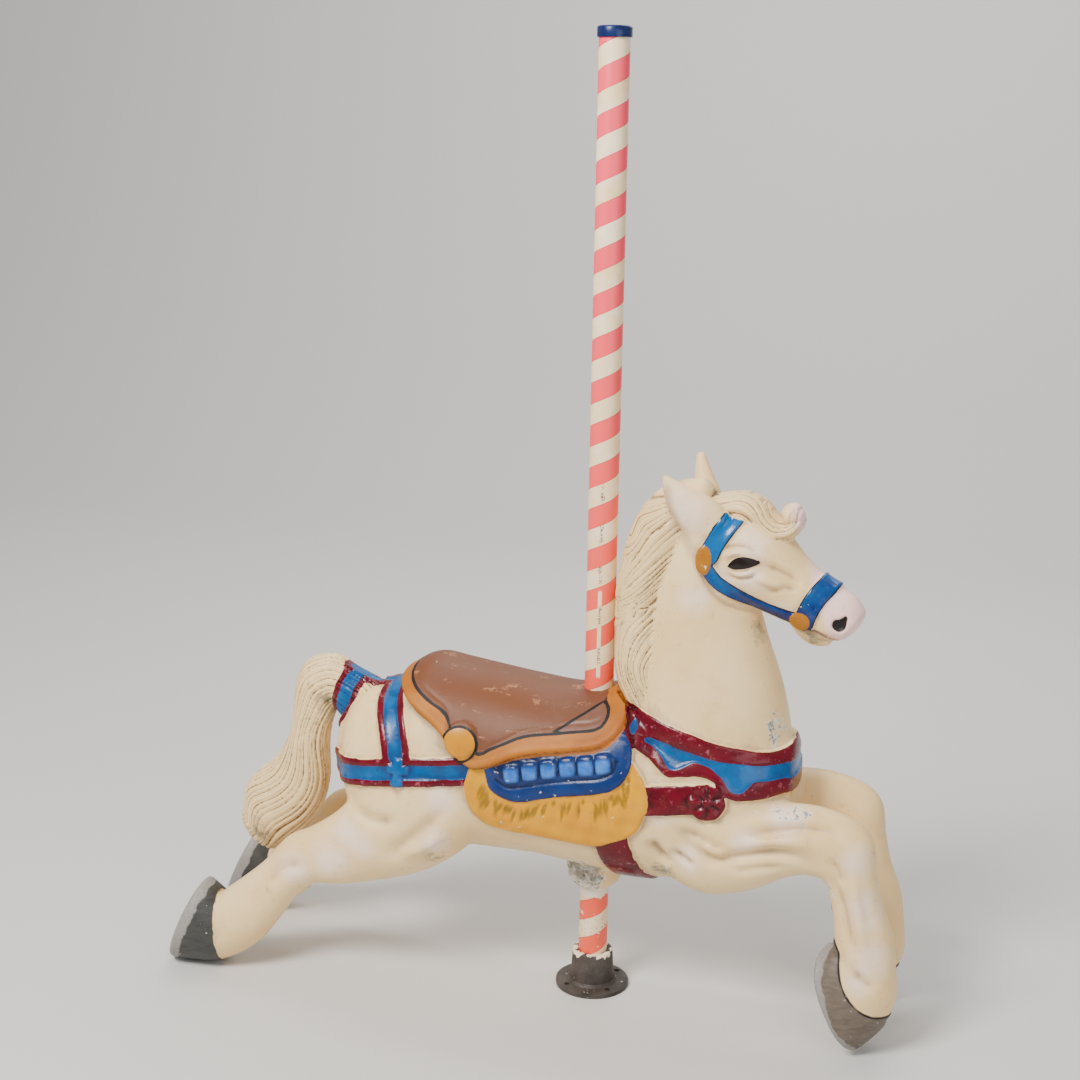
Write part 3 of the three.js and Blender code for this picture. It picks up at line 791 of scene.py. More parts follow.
def hoof_fields(points):
    """Signed distances of the hooves and of the rims round their soles."""
    x, y, z = points.T
    out = np.abs(y)
    middle_x, middle_z, radius = CORONET
    behind_leg = np.maximum(150 - z, -(x - 432) * 0.8 - (z - 160) * 0.6)
    fore = np.minimum(np.hypot(x - middle_x, z - middle_z) - radius, behind_leg)
    fore = np.where((x > 340) & (z < 210), fore, FAR)
    dip = 5 * (1 - np.clip(np.abs(out - HIND_AXIS) / 50, 0, 1))
    hind = np.where((x < -560) & (out > 40) & (z < 190), -(x + 629) - (z - 60) * 0.08 - dip, FAR)
    fore_rim = np.where(fore > -40, -(x - 431) * 0.92 - (z - 86) * 0.39 - (out - LEG_AXIS) * 0.5 + 14, FAR)
    hind_rim = np.where(hind > -40, -(x + 694) * 0.92 + (z - 77) * 0.39 + 15, FAR)
    return {"hoof_fore": fore, "hoof_hind": hind, "rim": np.maximum(fore_rim, hind_rim)}


def fleece_tufts(body, fleece, blanket):
    """Combed grooves below the cloth, and the shaggy waves of the fleece."""
    rng = np.random.default_rng(31)
    grooves = np.zeros(len(body.points))
    top = through(BLANKET[2:14], np.linspace(0.0, 1, 46))
    for x, z in top:
        length = 16 + 30 * rng.random()
        start = 2 + 7 * rng.random()
        down = np.array([(x - 60) / 400 + 0.22 * rng.standard_normal(), -1.0])
        down /= np.linalg.norm(down)
        bow = 2.5 * rng.standard_normal()
        path = [np.array([x, z]) + down * (start + length * k) + (bow * 4 * k * (1 - k), 0)
                for k in (0, 0.5, 1)]
        away, along = body.line(path, margin=20)
        grooves = np.maximum(grooves, ridge(away, 1, 2.9) * ends_fade(along, 0.5))
    keep = np.clip(np.minimum(fleece, -blanket) / 4, 0, 1)
    return grooves * keep


def carve(skin_now, body, head, hair):
    """Muscles, folds and the face cut into the smooth flesh."""
    depth = np.zeros(len(skin_now.points))
    for drawing, grooves, sign in (
        (body, MUSCLE_GROOVES, -1), (body, MUSCLE_RIDGES, 1),
        (head, HEAD_GROOVES, -1), (head, HEAD_RIDGES, 1),
    ):
        for outline, height, width in grooves:
            away, along = drawing.line(outline)
            depth += sign * ridge(away, 2.0 * height, width) * ends_fade(along, 0.3)
    f = head_fields(head)
    depth += step_up(f["eye"], 3.5, 5)
    depth -= step_up(f["nostril"], 7, 6)
    depth -= ridge(2.0 - f["mouth"], 3.5, 3.5)
    n = skin_now.normals()
    skin_now.points = skin_now.points + n * (depth * (1 - hair))[:, None]


def build_tack(skin_now, body, head, hair):
    """Raises the saddle, its cloths, the harness and the halter out of the flesh."""
    f = harness_fields(body)
    g = head_fields(head)
    hoof = hoof_fields(skin_now.points)
    open_skin = 1 - np.clip(hair, 0, 1)
    petals = petal_pattern(body)
    tufts = fleece_tufts(body, f["fleece"], f["blanket"])
    straps = step_up(f["harness"], 5, 5) - step_up(f["harness_blue"], 2.2, 3) + step_up(f["cross"], 5.5, 3)
    straps = np.where(f["harness"] > -4, straps, 0)
    straps = np.maximum(straps, step_up(f["rosette"], 8, 6) + petals)
    x, _, z = body.points.T
    shaggy = 1.3 * np.sin(x / 11 + z / 8) * np.sin(z / 10 - x / 15) + 0.8 * np.sin(x / 6 - z / 13)
    fleece = step_up(f["fleece"], 7, 6) - 3.2 * tufts + step_up(f["fleece"] - 5, 1, 8) * shaggy
    blanket = step_up(f["blanket"], 11, 5) - step_up(f["channel"], 2.5, 4) + step_up(f["pads"], 4.5, 4)
    saddle = step_up(f["saddle"], 14, 5) + ridge(np.abs(f["saddle"] - 7), 2.2, 6)
    drawn = np.minimum(np.abs(f["seat"]), np.where(f["seat"] > 0, np.abs(f["panel"]), 80))
    saddle = saddle - ridge(drawn, 1.2, 2.5)
    saddle = np.where(f["saddle"] > -6, saddle, 0)
    disc = step_up(f["disc"], 17, 5) + 4 * np.clip(f["disc"] / 26, 0, 1) ** 0.5 * (f["disc"] > 0)
    over = np.maximum.reduce([straps, fleece, blanket, saddle, np.where(f["disc"] > -4, disc, 0)])
    halter = step_up(g["halter"], 4, 4) + ridge(g["halter"] - 3, 0.8, 2.5)
    halter = np.maximum(halter, step_up(g["gold"], 6.5, 4))
    ledge = np.maximum(step_up(hoof["hoof_fore"], 2.5, 4), step_up(hoof["hoof_hind"], 2.5, 4))
    lift = np.maximum(over, halter) * open_skin + ledge
    n = skin_now.normals()
    for _ in range(3):
        n = skin_now.mean(n)
    n /= np.linalg.norm(n, axis=1)[:, None] + 1e-9
    skin_now.points = skin_now.points + n * lift[:, None]


def petal_pattern(body):
    x, y, z = body.points.T
    dx, dz = x - ROSETTE[0], z - ROSETTE[1]
    r = np.hypot(dx, dz)
    wave = np.cos(6 * np.arctan2(dz, dx)) * np.clip(r / 12, 0, 1)
    return np.where((r < ROSETTE[2]) & (np.abs(y) > 40), 2.6 * wave - ridge(r - 9, 3, 3) + ridge(r, 3, 6), 0)


def hair_share(points, hair_trees, reach_mm):
    """How much each point belongs to the mane, the tail and the forelock, from 0 to 1."""
    return [nearness(points, tree, reach_mm) for tree in hair_trees]


def nearness(points, tree, reach_mm):
    """1 where a point lies on the tree's surface, 0 beyond the reach."""
    near = np.array([tree.find_nearest(Vector(p), 4 * reach_mm)[3] or 99.0 for p in points])
    return np.clip(2 - near / reach_mm, 0, 1)


def drawings(skin_now):
    """The side view of the body, and that of the head as if it looked straight ahead."""
    tree = skin_now.tree()
    body = Drawing(skin_now.points, ray_to_side(tree))
    head = Drawing(turn_head(skin_now.points, -1), ray_to_side(tree, True))
    return body, head


def comb_hair(clay, share):
    hair = np.maximum.reduce(share)
    strand = comb_strands(clay.points, share)
    lift = comb_relief(clay.points, strand, 6.2) * np.clip(hair * 1.5 - 0.4, 0, 1)
    clay.points = clay.points + clay.normals() * lift[:, None]


def shape_horse():
    flesh, hair_parts = flesh_solids()
    hair_trees = [tree_of([part]) for part in hair_parts]
    horse = make_object("horse_casting", *combined(flesh + hair_parts))
    apply_modifier(horse, "REMESH", mode="VOXEL", voxel_size=VOXEL * MM)
    clay = Skin(horse)
    share = hair_share(clay.points, hair_trees, 2.0)
    hair = np.maximum.reduce(share)
    clay.relax(4, 0.75 - 0.2 * hair)
    clay.fill(26, 1 - hair)
    clay.relax(3, (1 - hair) * 0.6)
    carve(clay, *drawings(clay), hair)
    build_tack(clay, *drawings(clay), hair)
    comb_hair(clay, share)
    clay.write()
    share_kept = TRIANGLES / len(clay.tris)
    if share_kept < 1:
        apply_modifier(horse, "DECIMATE", ratio=share_kept)
    horse.data.polygons.foreach_set("use_smooth", [True] * len(horse.data.polygons))
    return horse, hair_trees


def colour_horse(horse, hair_trees):
    """Keeps each painted area on the mesh as a signed distance in mm for the paint to read."""
    done = Skin(horse)
    print("horse_casting: vertices", len(done.points), "triangles", len(done.tris))
    share = hair_share(done.points, hair_trees, 5.0)
    body, head = drawings(done)
    f = harness_fields(body)
    f.update(head_fields(head))
    f.update(hoof_fields(done.points))
    f["comb"] = fleece_tufts(body, f["fleece"], f["blanket"])
    f["hair"] = np.maximum.reduce(share)
    f["strand"] = comb_strands(done.points, share)
    n = done.normals()
    near = ((done.blur(done.points, 3) - done.points) * n).sum(1)
    wide = ((done.blur(done.points, 30) - done.points) * n).sum(1)
    f["cavity"] = done.blur(near, 1)
    f["hollow"] = done.blur(wide, 2)
    f["pink_white_patch"] = body.spots(PINK_WHITE_PATCHES)
    f["ear_shade"] = 6 - body.line(EAR_SHADE)[0]
    x, y, z = body.points.T
    f["boss"] = np.minimum.reduce([62 - np.hypot(x, y), 236 - z, 12 - x])
    f["soiled"] = body.spots(SOILED)
    f["worn"] = body.spots(WORN)
    for name, values in f.items():
        done.keep(name, values)


# ---- paint --------------------------------------------------------------------------------------
# the halter's turn from navy to blue is painted shade, darker low down
HALTER_SHADE_HEIGHTS = (0.70, 0.79)       # heights in metres between which the halter turns from navy to blue

# paint chips, red, green and blue from 0 to 255
CHIPS = {
    "cream": (238, 208, 154), "cream_deep": (231, 195, 136), "pink_white": (242, 216, 196),
    "tan": (206, 182, 146), "tan_dark": (158, 128, 90), "hair": (235, 202, 144),
    "hair_pale": (242, 210, 154), "hair_groove": (106, 76, 44), "muzzle": (247, 212, 202),
    "muzzle_deep": (240, 194, 188), "mouth_red": (150, 100, 95), "fore_horn": (88, 78, 68),
    "fore_horn_pale": (112, 100, 88), "hind_horn": (66, 67, 64), "hind_horn_dark": (52, 52, 50),
    "rim": (158, 153, 148), "rim_dark": (118, 114, 108), "maroon": (102, 0, 24),
    "maroon_dark": (78, 0, 16), "maroon_glint": (214, 120, 140), "maroon_deep": (38, 0, 6),
    "strap_blue": (0, 90, 152), "strap_blue_deep": (0, 68, 122), "navy": (20, 44, 92),
    "fleece_yellow": (212, 148, 0), "fleece_gold": (204, 134, 0), "fleece_grey": (132, 98, 8),
    "cloth_blue": (12, 46, 104), "cloth_deep": (8, 36, 88), "cloth_dark": (3, 14, 46),
    "pad_blue": (36, 92, 176), "pad_pale": (66, 122, 198), "ochre": (176, 107, 24),
    "ochre_deep": (155, 86, 20), "disc_gold": (208, 142, 0), "seat_brown": (108, 61, 32),
    "seat_mauve": (106, 64, 44), "seat_scuff": (186, 128, 88), "seat_dark": (70, 33, 9),
    "panel_mauve": (112, 74, 60), "line_black": (22, 18, 20), "halter_blue": (0, 88, 148),
    "halter_navy": (10, 30, 92), "gold": (166, 114, 8), "eye_dark": (26, 16, 14),
    "nostril_dark": (24, 18, 18), "metal": (150, 148, 142), "metal_dark": (84, 82, 78),
    "dirt": (120, 104, 74), "dirt_grey": (104, 98, 78), "shade": (176, 146, 118),
    "filler": (230, 219, 200), "pole_pink": (247, 74, 93), "pole_salmon": (247, 92, 65),
    "pole_cream": (250, 228, 196), "pole_edge": (199, 40, 51), "cap_navy": (8, 14, 62),
    "cap_edge": (40, 52, 120), "iron": (82, 74, 70), "iron_dark": (47, 41, 36),
    "iron_bright": (214, 208, 200), "drip": (240, 225, 195),
}


def tint(name):
    """A chip as the shader's linear colour."""
    values = [c / 255 for c in CHIPS[name]]
    return tuple(v / 12.92 if v <= 0.04045 else ((v + 0.055) / 1.055) ** 2.4 for v in values) + (1,)


class Coat:
    """Paint laid in layers over one shader: colour, roughness and small bumps."""

    def __init__(self, name, gloss):
        self.material = bpy.data.materials.new(name)
        self.material.use_nodes = True
        self.tree = self.material.node_tree
        self.shader = self.tree.nodes["Principled BSDF"]
        self.place = self.node("ShaderNodeTexCoord").outputs["Object"]
        self.colour = None
        self.rough = None
        self.height = None
        self.shader.inputs["Roughness"].default_value = gloss
        self.shader.inputs["Specular IOR Level"].default_value = 0.3

    def node(self, kind, **settings):
        node = self.tree.nodes.new(kind)
        for key, value in settings.items():
            setattr(node, key, value)
        return node

    def join(self, source, socket):
        """Wires a socket to another, or sets it to a number or to the chip of that name."""
        if isinstance(source, bpy.types.NodeSocket):
            self.tree.links.new(source, socket)
        else:
            socket.default_value = tint(source) if isinstance(source, str) else source

    def maths(self, operation, *values):
        node = self.node("ShaderNodeMath", operation=operation)
        for value, socket in zip(values, node.inputs):
            self.join(value, socket)
        return node.outputs[0]

    def axes(self):
        """The place's X, Y and Z in metres."""
        apart = self.node("ShaderNodeSeparateXYZ")
        self.join(self.place, apart.inputs[0])
        return apart.outputs

    def field(self, name):
        return self.node("ShaderNodeAttribute", attribute_name=name).outputs["Fac"]

    def spread(self, value, low, high, to_low=0.0, to_high=1.0, smooth=False):
        node = self.node("ShaderNodeMapRange", interpolation_type="SMOOTHSTEP" if smooth else "LINEAR")
        self.join(value, node.inputs["Value"])
        for socket, number in zip(("From Min", "From Max", "To Min", "To Max"), (low, high, to_low, to_high)):
            node.inputs[socket].default_value = number
        return node.outputs["Result"]

    def noise(self, scale, detail=3, rough=0.55, stretch=(1, 1, 1), distort=0.0):
        """Cloudy variation from 0 to 1; scale counts the clouds in a metre."""
        mapping = self.node("ShaderNodeMapping")
        mapping.inputs["Scale"].default_value = stretch
        self.join(self.place, mapping.inputs["Vector"])
        node = self.node("ShaderNodeTexNoise")
        self.join(mapping.outputs["Vector"], node.inputs["Vector"])
        node.inputs["Scale"].default_value = scale
        node.inputs["Detail"].default_value = detail
        node.inputs["Roughness"].default_value = rough
        node.inputs["Distortion"].default_value = distort
        return node.outputs["Fac"]

    def mix(self, share, a, b):
        node = self.node("ShaderNodeMix", data_type="RGBA")
        self.join(share, node.inputs[0])
        self.join(a, node.inputs[6])
        self.join(b, node.inputs[7])
        return node.outputs[2]

    def blend(self, share, a, b):
        node = self.node("ShaderNodeMix", data_type="FLOAT")
        self.join(share, node.inputs[0])
        self.join(a, node.inputs[2])
        self.join(b, node.inputs[3])
        return node.outputs[0]

    def mottled(self, clouds, low, high, thin, dense):
        """One colour where the clouds are thin, running into another where they are dense."""
        return self.mix(self.spread(clouds, low, high), thin, dense)

    def shaded_in_hollows(self, colour, low, high, share, dark):
        """The colour with a darker one in the hollows of the relief: painted shade."""
        return self.mix(self.spread(self.cavity, low, high, 0, share), colour, dark)

    def edge(self, field, wobble=0.8, soft=0.5, shift=0.0):
        """A hand-painted mask from a signed distance in mm."""
        shaken = self.maths("ADD", field, self.spread(self.wander, 0.3, 0.7, -wobble + shift, wobble + shift))
        return self.spread(shaken, -soft, soft)

    def area(self, name, wobble=0.8, soft=0.5, shift=0.0):
        """The hand-painted mask of an area kept on the mesh."""
        return self.edge(self.field(name), wobble, soft, shift)

    def groove(self, strand, times, low, high):
        """1 in the narrow grooves between strands, several times finer than the strand numbers if asked."""
        part = self.maths("FRACT", self.maths("MULTIPLY", strand, times))
        return self.spread(self.maths("ABSOLUTE", self.maths("MULTIPLY_ADD", part, 2.0, -1.0)), low, high)

    def lay(self, mask, colour, rough=None):
        self.colour = colour if self.colour is None else self.mix(mask, self.colour, colour)
        if rough is not None:
            self.rough = rough if self.rough is None else self.blend(mask, self.rough, rough)

    def dry(self, bump_height=None, strength=0.3, distance=0.001):
        self.join(self.colour, self.shader.inputs["Base Color"])
        if isinstance(self.rough, bpy.types.NodeSocket):
            self.tree.links.new(self.rough, self.shader.inputs["Roughness"])
        if bump_height is not None:
            bump = self.node("ShaderNodeBump")
            bump.inputs["Strength"].default_value = strength
            bump.inputs["Distance"].default_value = distance
            self.join(bump_height, bump.inputs["Height"])
            self.tree.links.new(bump.outputs["Normal"], self.shader.inputs["Normal"])
        return self.material


def cream_flesh(coat):
    """Cream over white, with pink-white patches on the high places, partly worn paint and partly painted
    highlight, and tan painted shade in the folds and creases.
    """
    body = coat.mottled(coat.broad, 0.35, 0.65, "cream", "cream_deep")
    # pink-white patches on the high places: partly worn paint, partly painted highlight
    pink_wear_and_highlight = coat.maths("MULTIPLY", coat.spread(coat.field("pink_white_patch"), -14, 22, smooth=True),
                        coat.spread(coat.middling, 0.3, 0.62, 0.35, 1.0))
    body = coat.mix(pink_wear_and_highlight, body, "pink_white")
    # tan in the wide folds and darker tan in the creases: painted shade
    body = coat.mix(coat.spread(coat.field("hollow"), 0.6, 4.0, 0, 0.85), body, "tan")
    body = coat.shaded_in_hollows(body, 0.12, 0.7, 0.6, "tan_dark")
    coat.lay(None, body, coat.spread(coat.middling, 0.3, 0.7, 0.30, 0.46))


def combed_hair(coat):
    """A little yellower than the flesh, with brown painted shade in the grooves between the strands and in
    the hollows.
    """
    strand = coat.field("strand")
    on_hair = coat.spread(coat.field("hair"), 0.55, 0.9)
    groove = coat.groove(strand, 1.0, 0.72, 0.98)
    fine_groove = coat.groove(strand, 3.0, 0.6, 1.0)
    hair_body = coat.mottled(coat.broad, 0.35, 0.65, "hair", "hair_pale")
    patchy = coat.spread(coat.noise(20, 3), 0.35, 0.65, 0.25, 1.0)
    # brown in the grooves between the strands and in the hollows: painted shade
    hair_body = coat.mix(coat.maths("MULTIPLY", fine_groove, coat.maths("MULTIPLY", patchy, 0.55)),
                         hair_body, "hair_groove")
    hair_body = coat.mix(coat.maths("MULTIPLY", groove, patchy), hair_body, "hair_groove")
    hair_body = coat.shaded_in_hollows(hair_body, 0.25, 0.8, 0.8, "hair_groove")
    coat.lay(on_hair, hair_body, 0.42)


def muzzle_and_ears(coat):
    coat.lay(coat.spread(coat.field("ear_shade"), -10, 6, 0, 0.65, smooth=True), "shade", 0.45)
    blush = coat.maths("ADD", coat.field("muzzle"), coat.spread(coat.broad, 0.3, 0.7, -6, 6))
    pink = coat.mottled(coat.middling, 0.35, 0.7, "muzzle", "muzzle_deep")
    coat.lay(coat.spread(blush, -7, 7), pink, 0.34)
    coat.lay(coat.area("mouth", 0.4, 1.2), "mouth_red", 0.4)


def grey_hooves(coat):
    """Brown-grey in front, darker behind, with a black line at the top and a paler rim round the sole."""
    streak = coat.noise(120, 3, stretch=(0.35, 0.35, 1.4), distort=0.6)
    hoof = coat.mottled(streak, 0.3, 0.7, "fore_horn", "fore_horn_pale")
    coat.lay(coat.area("hoof_fore", 0.8), hoof, 0.5)
    hoof_line = coat.maths("SUBTRACT", 1.5, coat.maths("ABSOLUTE", coat.field("hoof_fore")))
    coat.lay(coat.edge(hoof_line, 0.5, 0.8), "nostril_dark", 0.5)
    hoof = coat.mottled(streak, 0.3, 0.7, "hind_horn", "hind_horn_dark")
    coat.lay(coat.area("hoof_hind", 1.0), hoof, 0.42)
    coat.lay(coat.area("rim", 2.5, 1.2), coat.mix(coat.fine, "rim", "rim_dark"), 0.5)


def maroon_harness(coat):
    """Maroon straps with painted glints and painted shade in their hollows, and blue middles with painted
    shade in theirs.
    """
    glint = coat.spread(coat.noise(90, 2), 0.62, 0.74)
    red = coat.mottled(coat.middling, 0.3, 0.7, "maroon", "maroon_dark")
    # pink glints on the maroon: painted highlight; darker maroon in the hollows: painted shade
    red = coat.mix(coat.maths("MULTIPLY", glint, 0.35), red, "maroon_glint")
    red = coat.shaded_in_hollows(red, 0.08, 0.5, 0.8, "maroon_deep")
    coat.lay(coat.area("harness", 1.2), red, 0.25)
    blue = coat.mottled(coat.middling, 0.35, 0.65, "strap_blue", "strap_blue_deep")
    # navy in the hollows of the blue: painted shade
    blue = coat.shaded_in_hollows(blue, 0.05, 0.5, 0.7, "navy")
    coat.lay(coat.maths("MULTIPLY", coat.area("harness_blue", 1.0), coat.area("harness", 0.5)), blue, 0.28)
    joint = coat.maths("MULTIPLY", coat.area("strap_joint", 0.3), coat.area("harness"))
    coat.lay(joint, "navy", 0.3)


def saddle_cloths(coat):
    """The yellow fleece, with painted shade in its combed grooves, and the blue blanket, with painted shade
    in its hollows and its row of paler pads.
    """
    fleece = coat.mottled(coat.middling, 0.35, 0.7, "fleece_yellow", "fleece_gold")
    # grey-brown in the combed grooves below the cloth: painted shade
    fleece = coat.mix(coat.spread(coat.field("comb"), 0.12, 0.6, 0, 0.85), fleece, "fleece_grey")
    coat.lay(coat.area("fleece", 1.5), fleece, 0.3)
    cloth = coat.mottled(coat.middling, 0.35, 0.65, "cloth_blue", "cloth_deep")
    # darker blue in the hollows of the blanket: painted shade
    cloth = coat.shaded_in_hollows(cloth, 0.05, 0.5, 0.8, "cloth_dark")
    coat.lay(coat.area("blanket", 1.0), cloth, 0.3)
    pad = coat.mottled(coat.noise(60, 3), 0.35, 0.62, "pad_blue", "pad_pale")
    coat.lay(coat.spread(coat.field("pads"), -1, 3.5), pad, 0.28)


def brown_saddle(coat):
    """Ochre border with painted shade in its hollows, brown seat, a golden disc and black lines."""
    scuff = coat.spread(coat.noise(26, 4, 0.7, stretch=(1, 1, 3)), 0.6, 0.66)
    scuff_lift = coat.maths("MULTIPLY", scuff, coat.spread(coat.fine, 0.35, 0.6))
    trim = coat.mottled(coat.noise(14, 3), 0.35, 0.65, "ochre", "ochre_deep")
    # the border darker in the hollows of its relief: painted shade
    trim = coat.shaded_in_hollows(trim, 0.05, 0.5, 0.6, "seat_dark")
    coat.lay(coat.area("saddle", 0.8), trim, 0.55)
    seat = coat.mottled(coat.broad, 0.35, 0.65, "seat_brown", "seat_mauve")
    seat = coat.mix(coat.maths("MULTIPLY", scuff_lift, 0.7), seat, "seat_scuff")
    in_saddle = coat.area("saddle", 0.5)
    coat.lay(coat.maths("MULTIPLY", coat.area("seat", 0.4), in_saddle), seat, 0.5)
    panel = coat.mottled(coat.middling, 0.35, 0.65, "panel_mauve", "seat_brown")
    coat.lay(coat.maths("MULTIPLY", coat.area("panel", 0.4), in_saddle), panel, 0.38)
    drawn = coat.maths("ABSOLUTE", coat.field("seat"))
    cross = coat.maths("ABSOLUTE", coat.field("panel"))
    cross = coat.maths("ADD", cross, coat.spread(coat.field("seat"), -1, 0, 9, 0))
    line = coat.edge(coat.maths("SUBTRACT", 2.7, coat.maths("MINIMUM", drawn, cross)), 0.5, 0.5)
    ring = coat.maths("SUBTRACT", 2.4, coat.maths("ABSOLUTE", coat.field("disc")))
    line = coat.maths("MAXIMUM", coat.maths("MULTIPLY", line, in_saddle), coat.edge(ring, 0.5))
    coat.lay(coat.area("disc", 0.4), coat.mix(coat.middling, "disc_gold", "ochre"), 0.25)
    inner = coat.maths("SUBTRACT", 1.0, coat.area("disc", 0.0, 0.4, -2.5))
    line = coat.maths("MULTIPLY", line, inner)
    coat.lay(line, "line_black", 0.6)


def blue_halter(coat):
    """Blue bands, darker low down as painted shade, with a black edge as painted shadow, gilt discs, and the
    dark eye and nostril.
    """
    # navy low down turning to blue higher up: painted shade
    height = coat.maths("ADD", coat.axes()["Z"], coat.spread(coat.middling, 0.3, 0.7, -0.03, 0.03))
    blue = coat.mottled(height, *HALTER_SHADE_HEIGHTS, "halter_navy", "halter_blue")
    # a black edge round each band: painted shadow
    rim = coat.maths("SUBTRACT", 1.0, coat.spread(coat.field("halter"), 1.2, 3.0))
    blue = coat.mix(rim, blue, "line_black")
    skin_shows = coat.spread(coat.field("hair"), 0.3, 0.6, 1, 0)
    coat.lay(coat.maths("MULTIPLY", coat.area("halter", 0.5), skin_shows), blue, 0.2)
    coat.lay(coat.area("gold", 0.5), coat.mix(coat.middling, "gold", "ochre_deep"), 0.3)
    coat.lay(coat.area("eye", 0.3, 0.6), "eye_dark", 0.12)
    coat.lay(coat.area("nostril", 0.8, 0.8), "nostril_dark", 0.5)


def bare_boss(coat):
    """The boss under the belly, worn to bare filler with dark specks."""
    bare = coat.mottled(coat.noise(170, 4, 0.7), 0.56, 0.62, "filler", "metal")
    bare = coat.mix(coat.spread(coat.noise(330, 3), 0.6, 0.64), bare, "metal_dark")
    ragged = coat.maths("ADD", coat.field("boss"), coat.spread(coat.middling, 0.3, 0.7, -9, 9))
    coat.lay(coat.spread(ragged, -1, 1), bare, 0.6)


def chips_and_dirt(coat):
    """Chips down to grey metal, the screw hole in the boss, and dirt."""
    worn = coat.spread(coat.field("worn"), -10, 8)
    chip_cloud = coat.maths("MULTIPLY_ADD", worn, 0.185, coat.noise(80, 5, 0.7))
    dressed = coat.maths("MAXIMUM", coat.field("harness"), coat.field("saddle"))
    chip_cloud = coat.maths("SUBTRACT", chip_cloud, coat.spread(dressed, -1, 2, 0.02, 0.07))
    scraped = coat.mottled(chip_cloud, 0.70, 0.76, "filler", "metal")
    scraped = coat.mix(coat.spread(coat.noise(230, 3), 0.58, 0.64), scraped, "metal_dark")
    coat.lay(coat.spread(chip_cloud, 0.655, 0.668), scraped, 0.55)
    coat.lay(coat.area("boss_hole", 0.3), "nostril_dark", 0.6)
    grime = coat.maths("MULTIPLY", coat.spread(coat.noise(18, 5, 0.7), 0.56, 0.8, 0, 0.35),
                       coat.spread(coat.fine, 0.4, 0.6))
    coat.lay(grime, "dirt", 0.6)
    soiled = coat.spread(coat.field("soiled"), -16, 12)
    soiled = coat.maths("MULTIPLY_ADD", soiled, 0.3, coat.noise(55, 5, 0.7))
    coat.lay(coat.spread(soiled, 0.62, 0.86, 0, 0.8), "dirt_grey", 0.6)


def horse_paint():
    coat = Coat("horse_enamel", 0.4)
    coat.wander = coat.noise(45, 2)
    coat.broad = coat.noise(9, 3)
    coat.middling = coat.noise(32, 4)
    coat.fine = coat.noise(260, 3)
    coat.cavity = coat.field("cavity")
    for layer in (cream_flesh, combed_hair, muzzle_and_ears, grey_hooves, maroon_harness, saddle_cloths,
                  brown_saddle, blue_halter, bare_boss, chips_and_dirt):
        layer(coat)
    brush = coat.maths("MULTIPLY", coat.middling, 0.6)
    brush = coat.maths("ADD", coat.maths("MULTIPLY", coat.fine, 0.4), brush)
    return coat.dry(brush, 0.28, 0.0012)


# ---- the pole, its cap and its floor flange -----------------------------------------------------
POLE_RADIUS = 24.15
BOLT_CIRCLE = 50.0
BOLT_RADIUS = 4.5
STRIPE_PITCH = 68.0
STRIPE_SHARE = 0.515
STRIPE_START = (524.0, 194.0)    # height in mm and angle in degrees where a pink stripe begins
SLIT_ANGLE = -82.0
SLIT = (0.56, 0.70)              # heights in metres of the worn slit, the scratches and the bare foot
SCRATCHES = (0.56, 0.87)
BARE_FOOT = 0.16
DRIP_LINE = 0.060                # lowest run of cream paint on the flange's socket


def lathe(name, profile, steps=72):
    """Spins a profile of (radius, height) points in mm about the upright axis."""
    data = bpy.data.meshes.new(name)
    edges = [(i, i + 1) for i in range(len(profile) - 1)]
    data.from_pydata([(r * MM, 0, z * MM) for r, z in profile], edges, [])
    thing = bpy.data.objects.new(name, data)
    bpy.context.scene.collection.objects.link(thing)
    pick(thing)
    bpy.ops.object.mode_set(mode="EDIT")
    bpy.ops.mesh.select_all(action="SELECT")
    bpy.ops.mesh.spin(steps=steps, angle=2 * math.pi, center=(0, 0, 0), axis=(0, 0, 1))
    bpy.ops.mesh.select_all(action="SELECT")
    bpy.ops.mesh.remove_doubles(threshold=0.00002)
    bpy.ops.mesh.normals_make_consistent(inside=False)
    bpy.ops.object.mode_set(mode="OBJECT")
    return thing


def soften(thing, width, angle=35):
    apply_modifier(thing, "BEVEL", width=width * MM, segments=3, angle_limit=math.radians(angle))
    pick(thing)
    bpy.ops.object.shade_smooth_by_angle(angle=math.radians(40))


def round_angle(coat):
    """The place's height in metres and its angle round the upright axis in radians."""
    axes = coat.axes()
    return axes["Z"], coat.maths("ARCTAN2", axes["Y"], axes["X"])


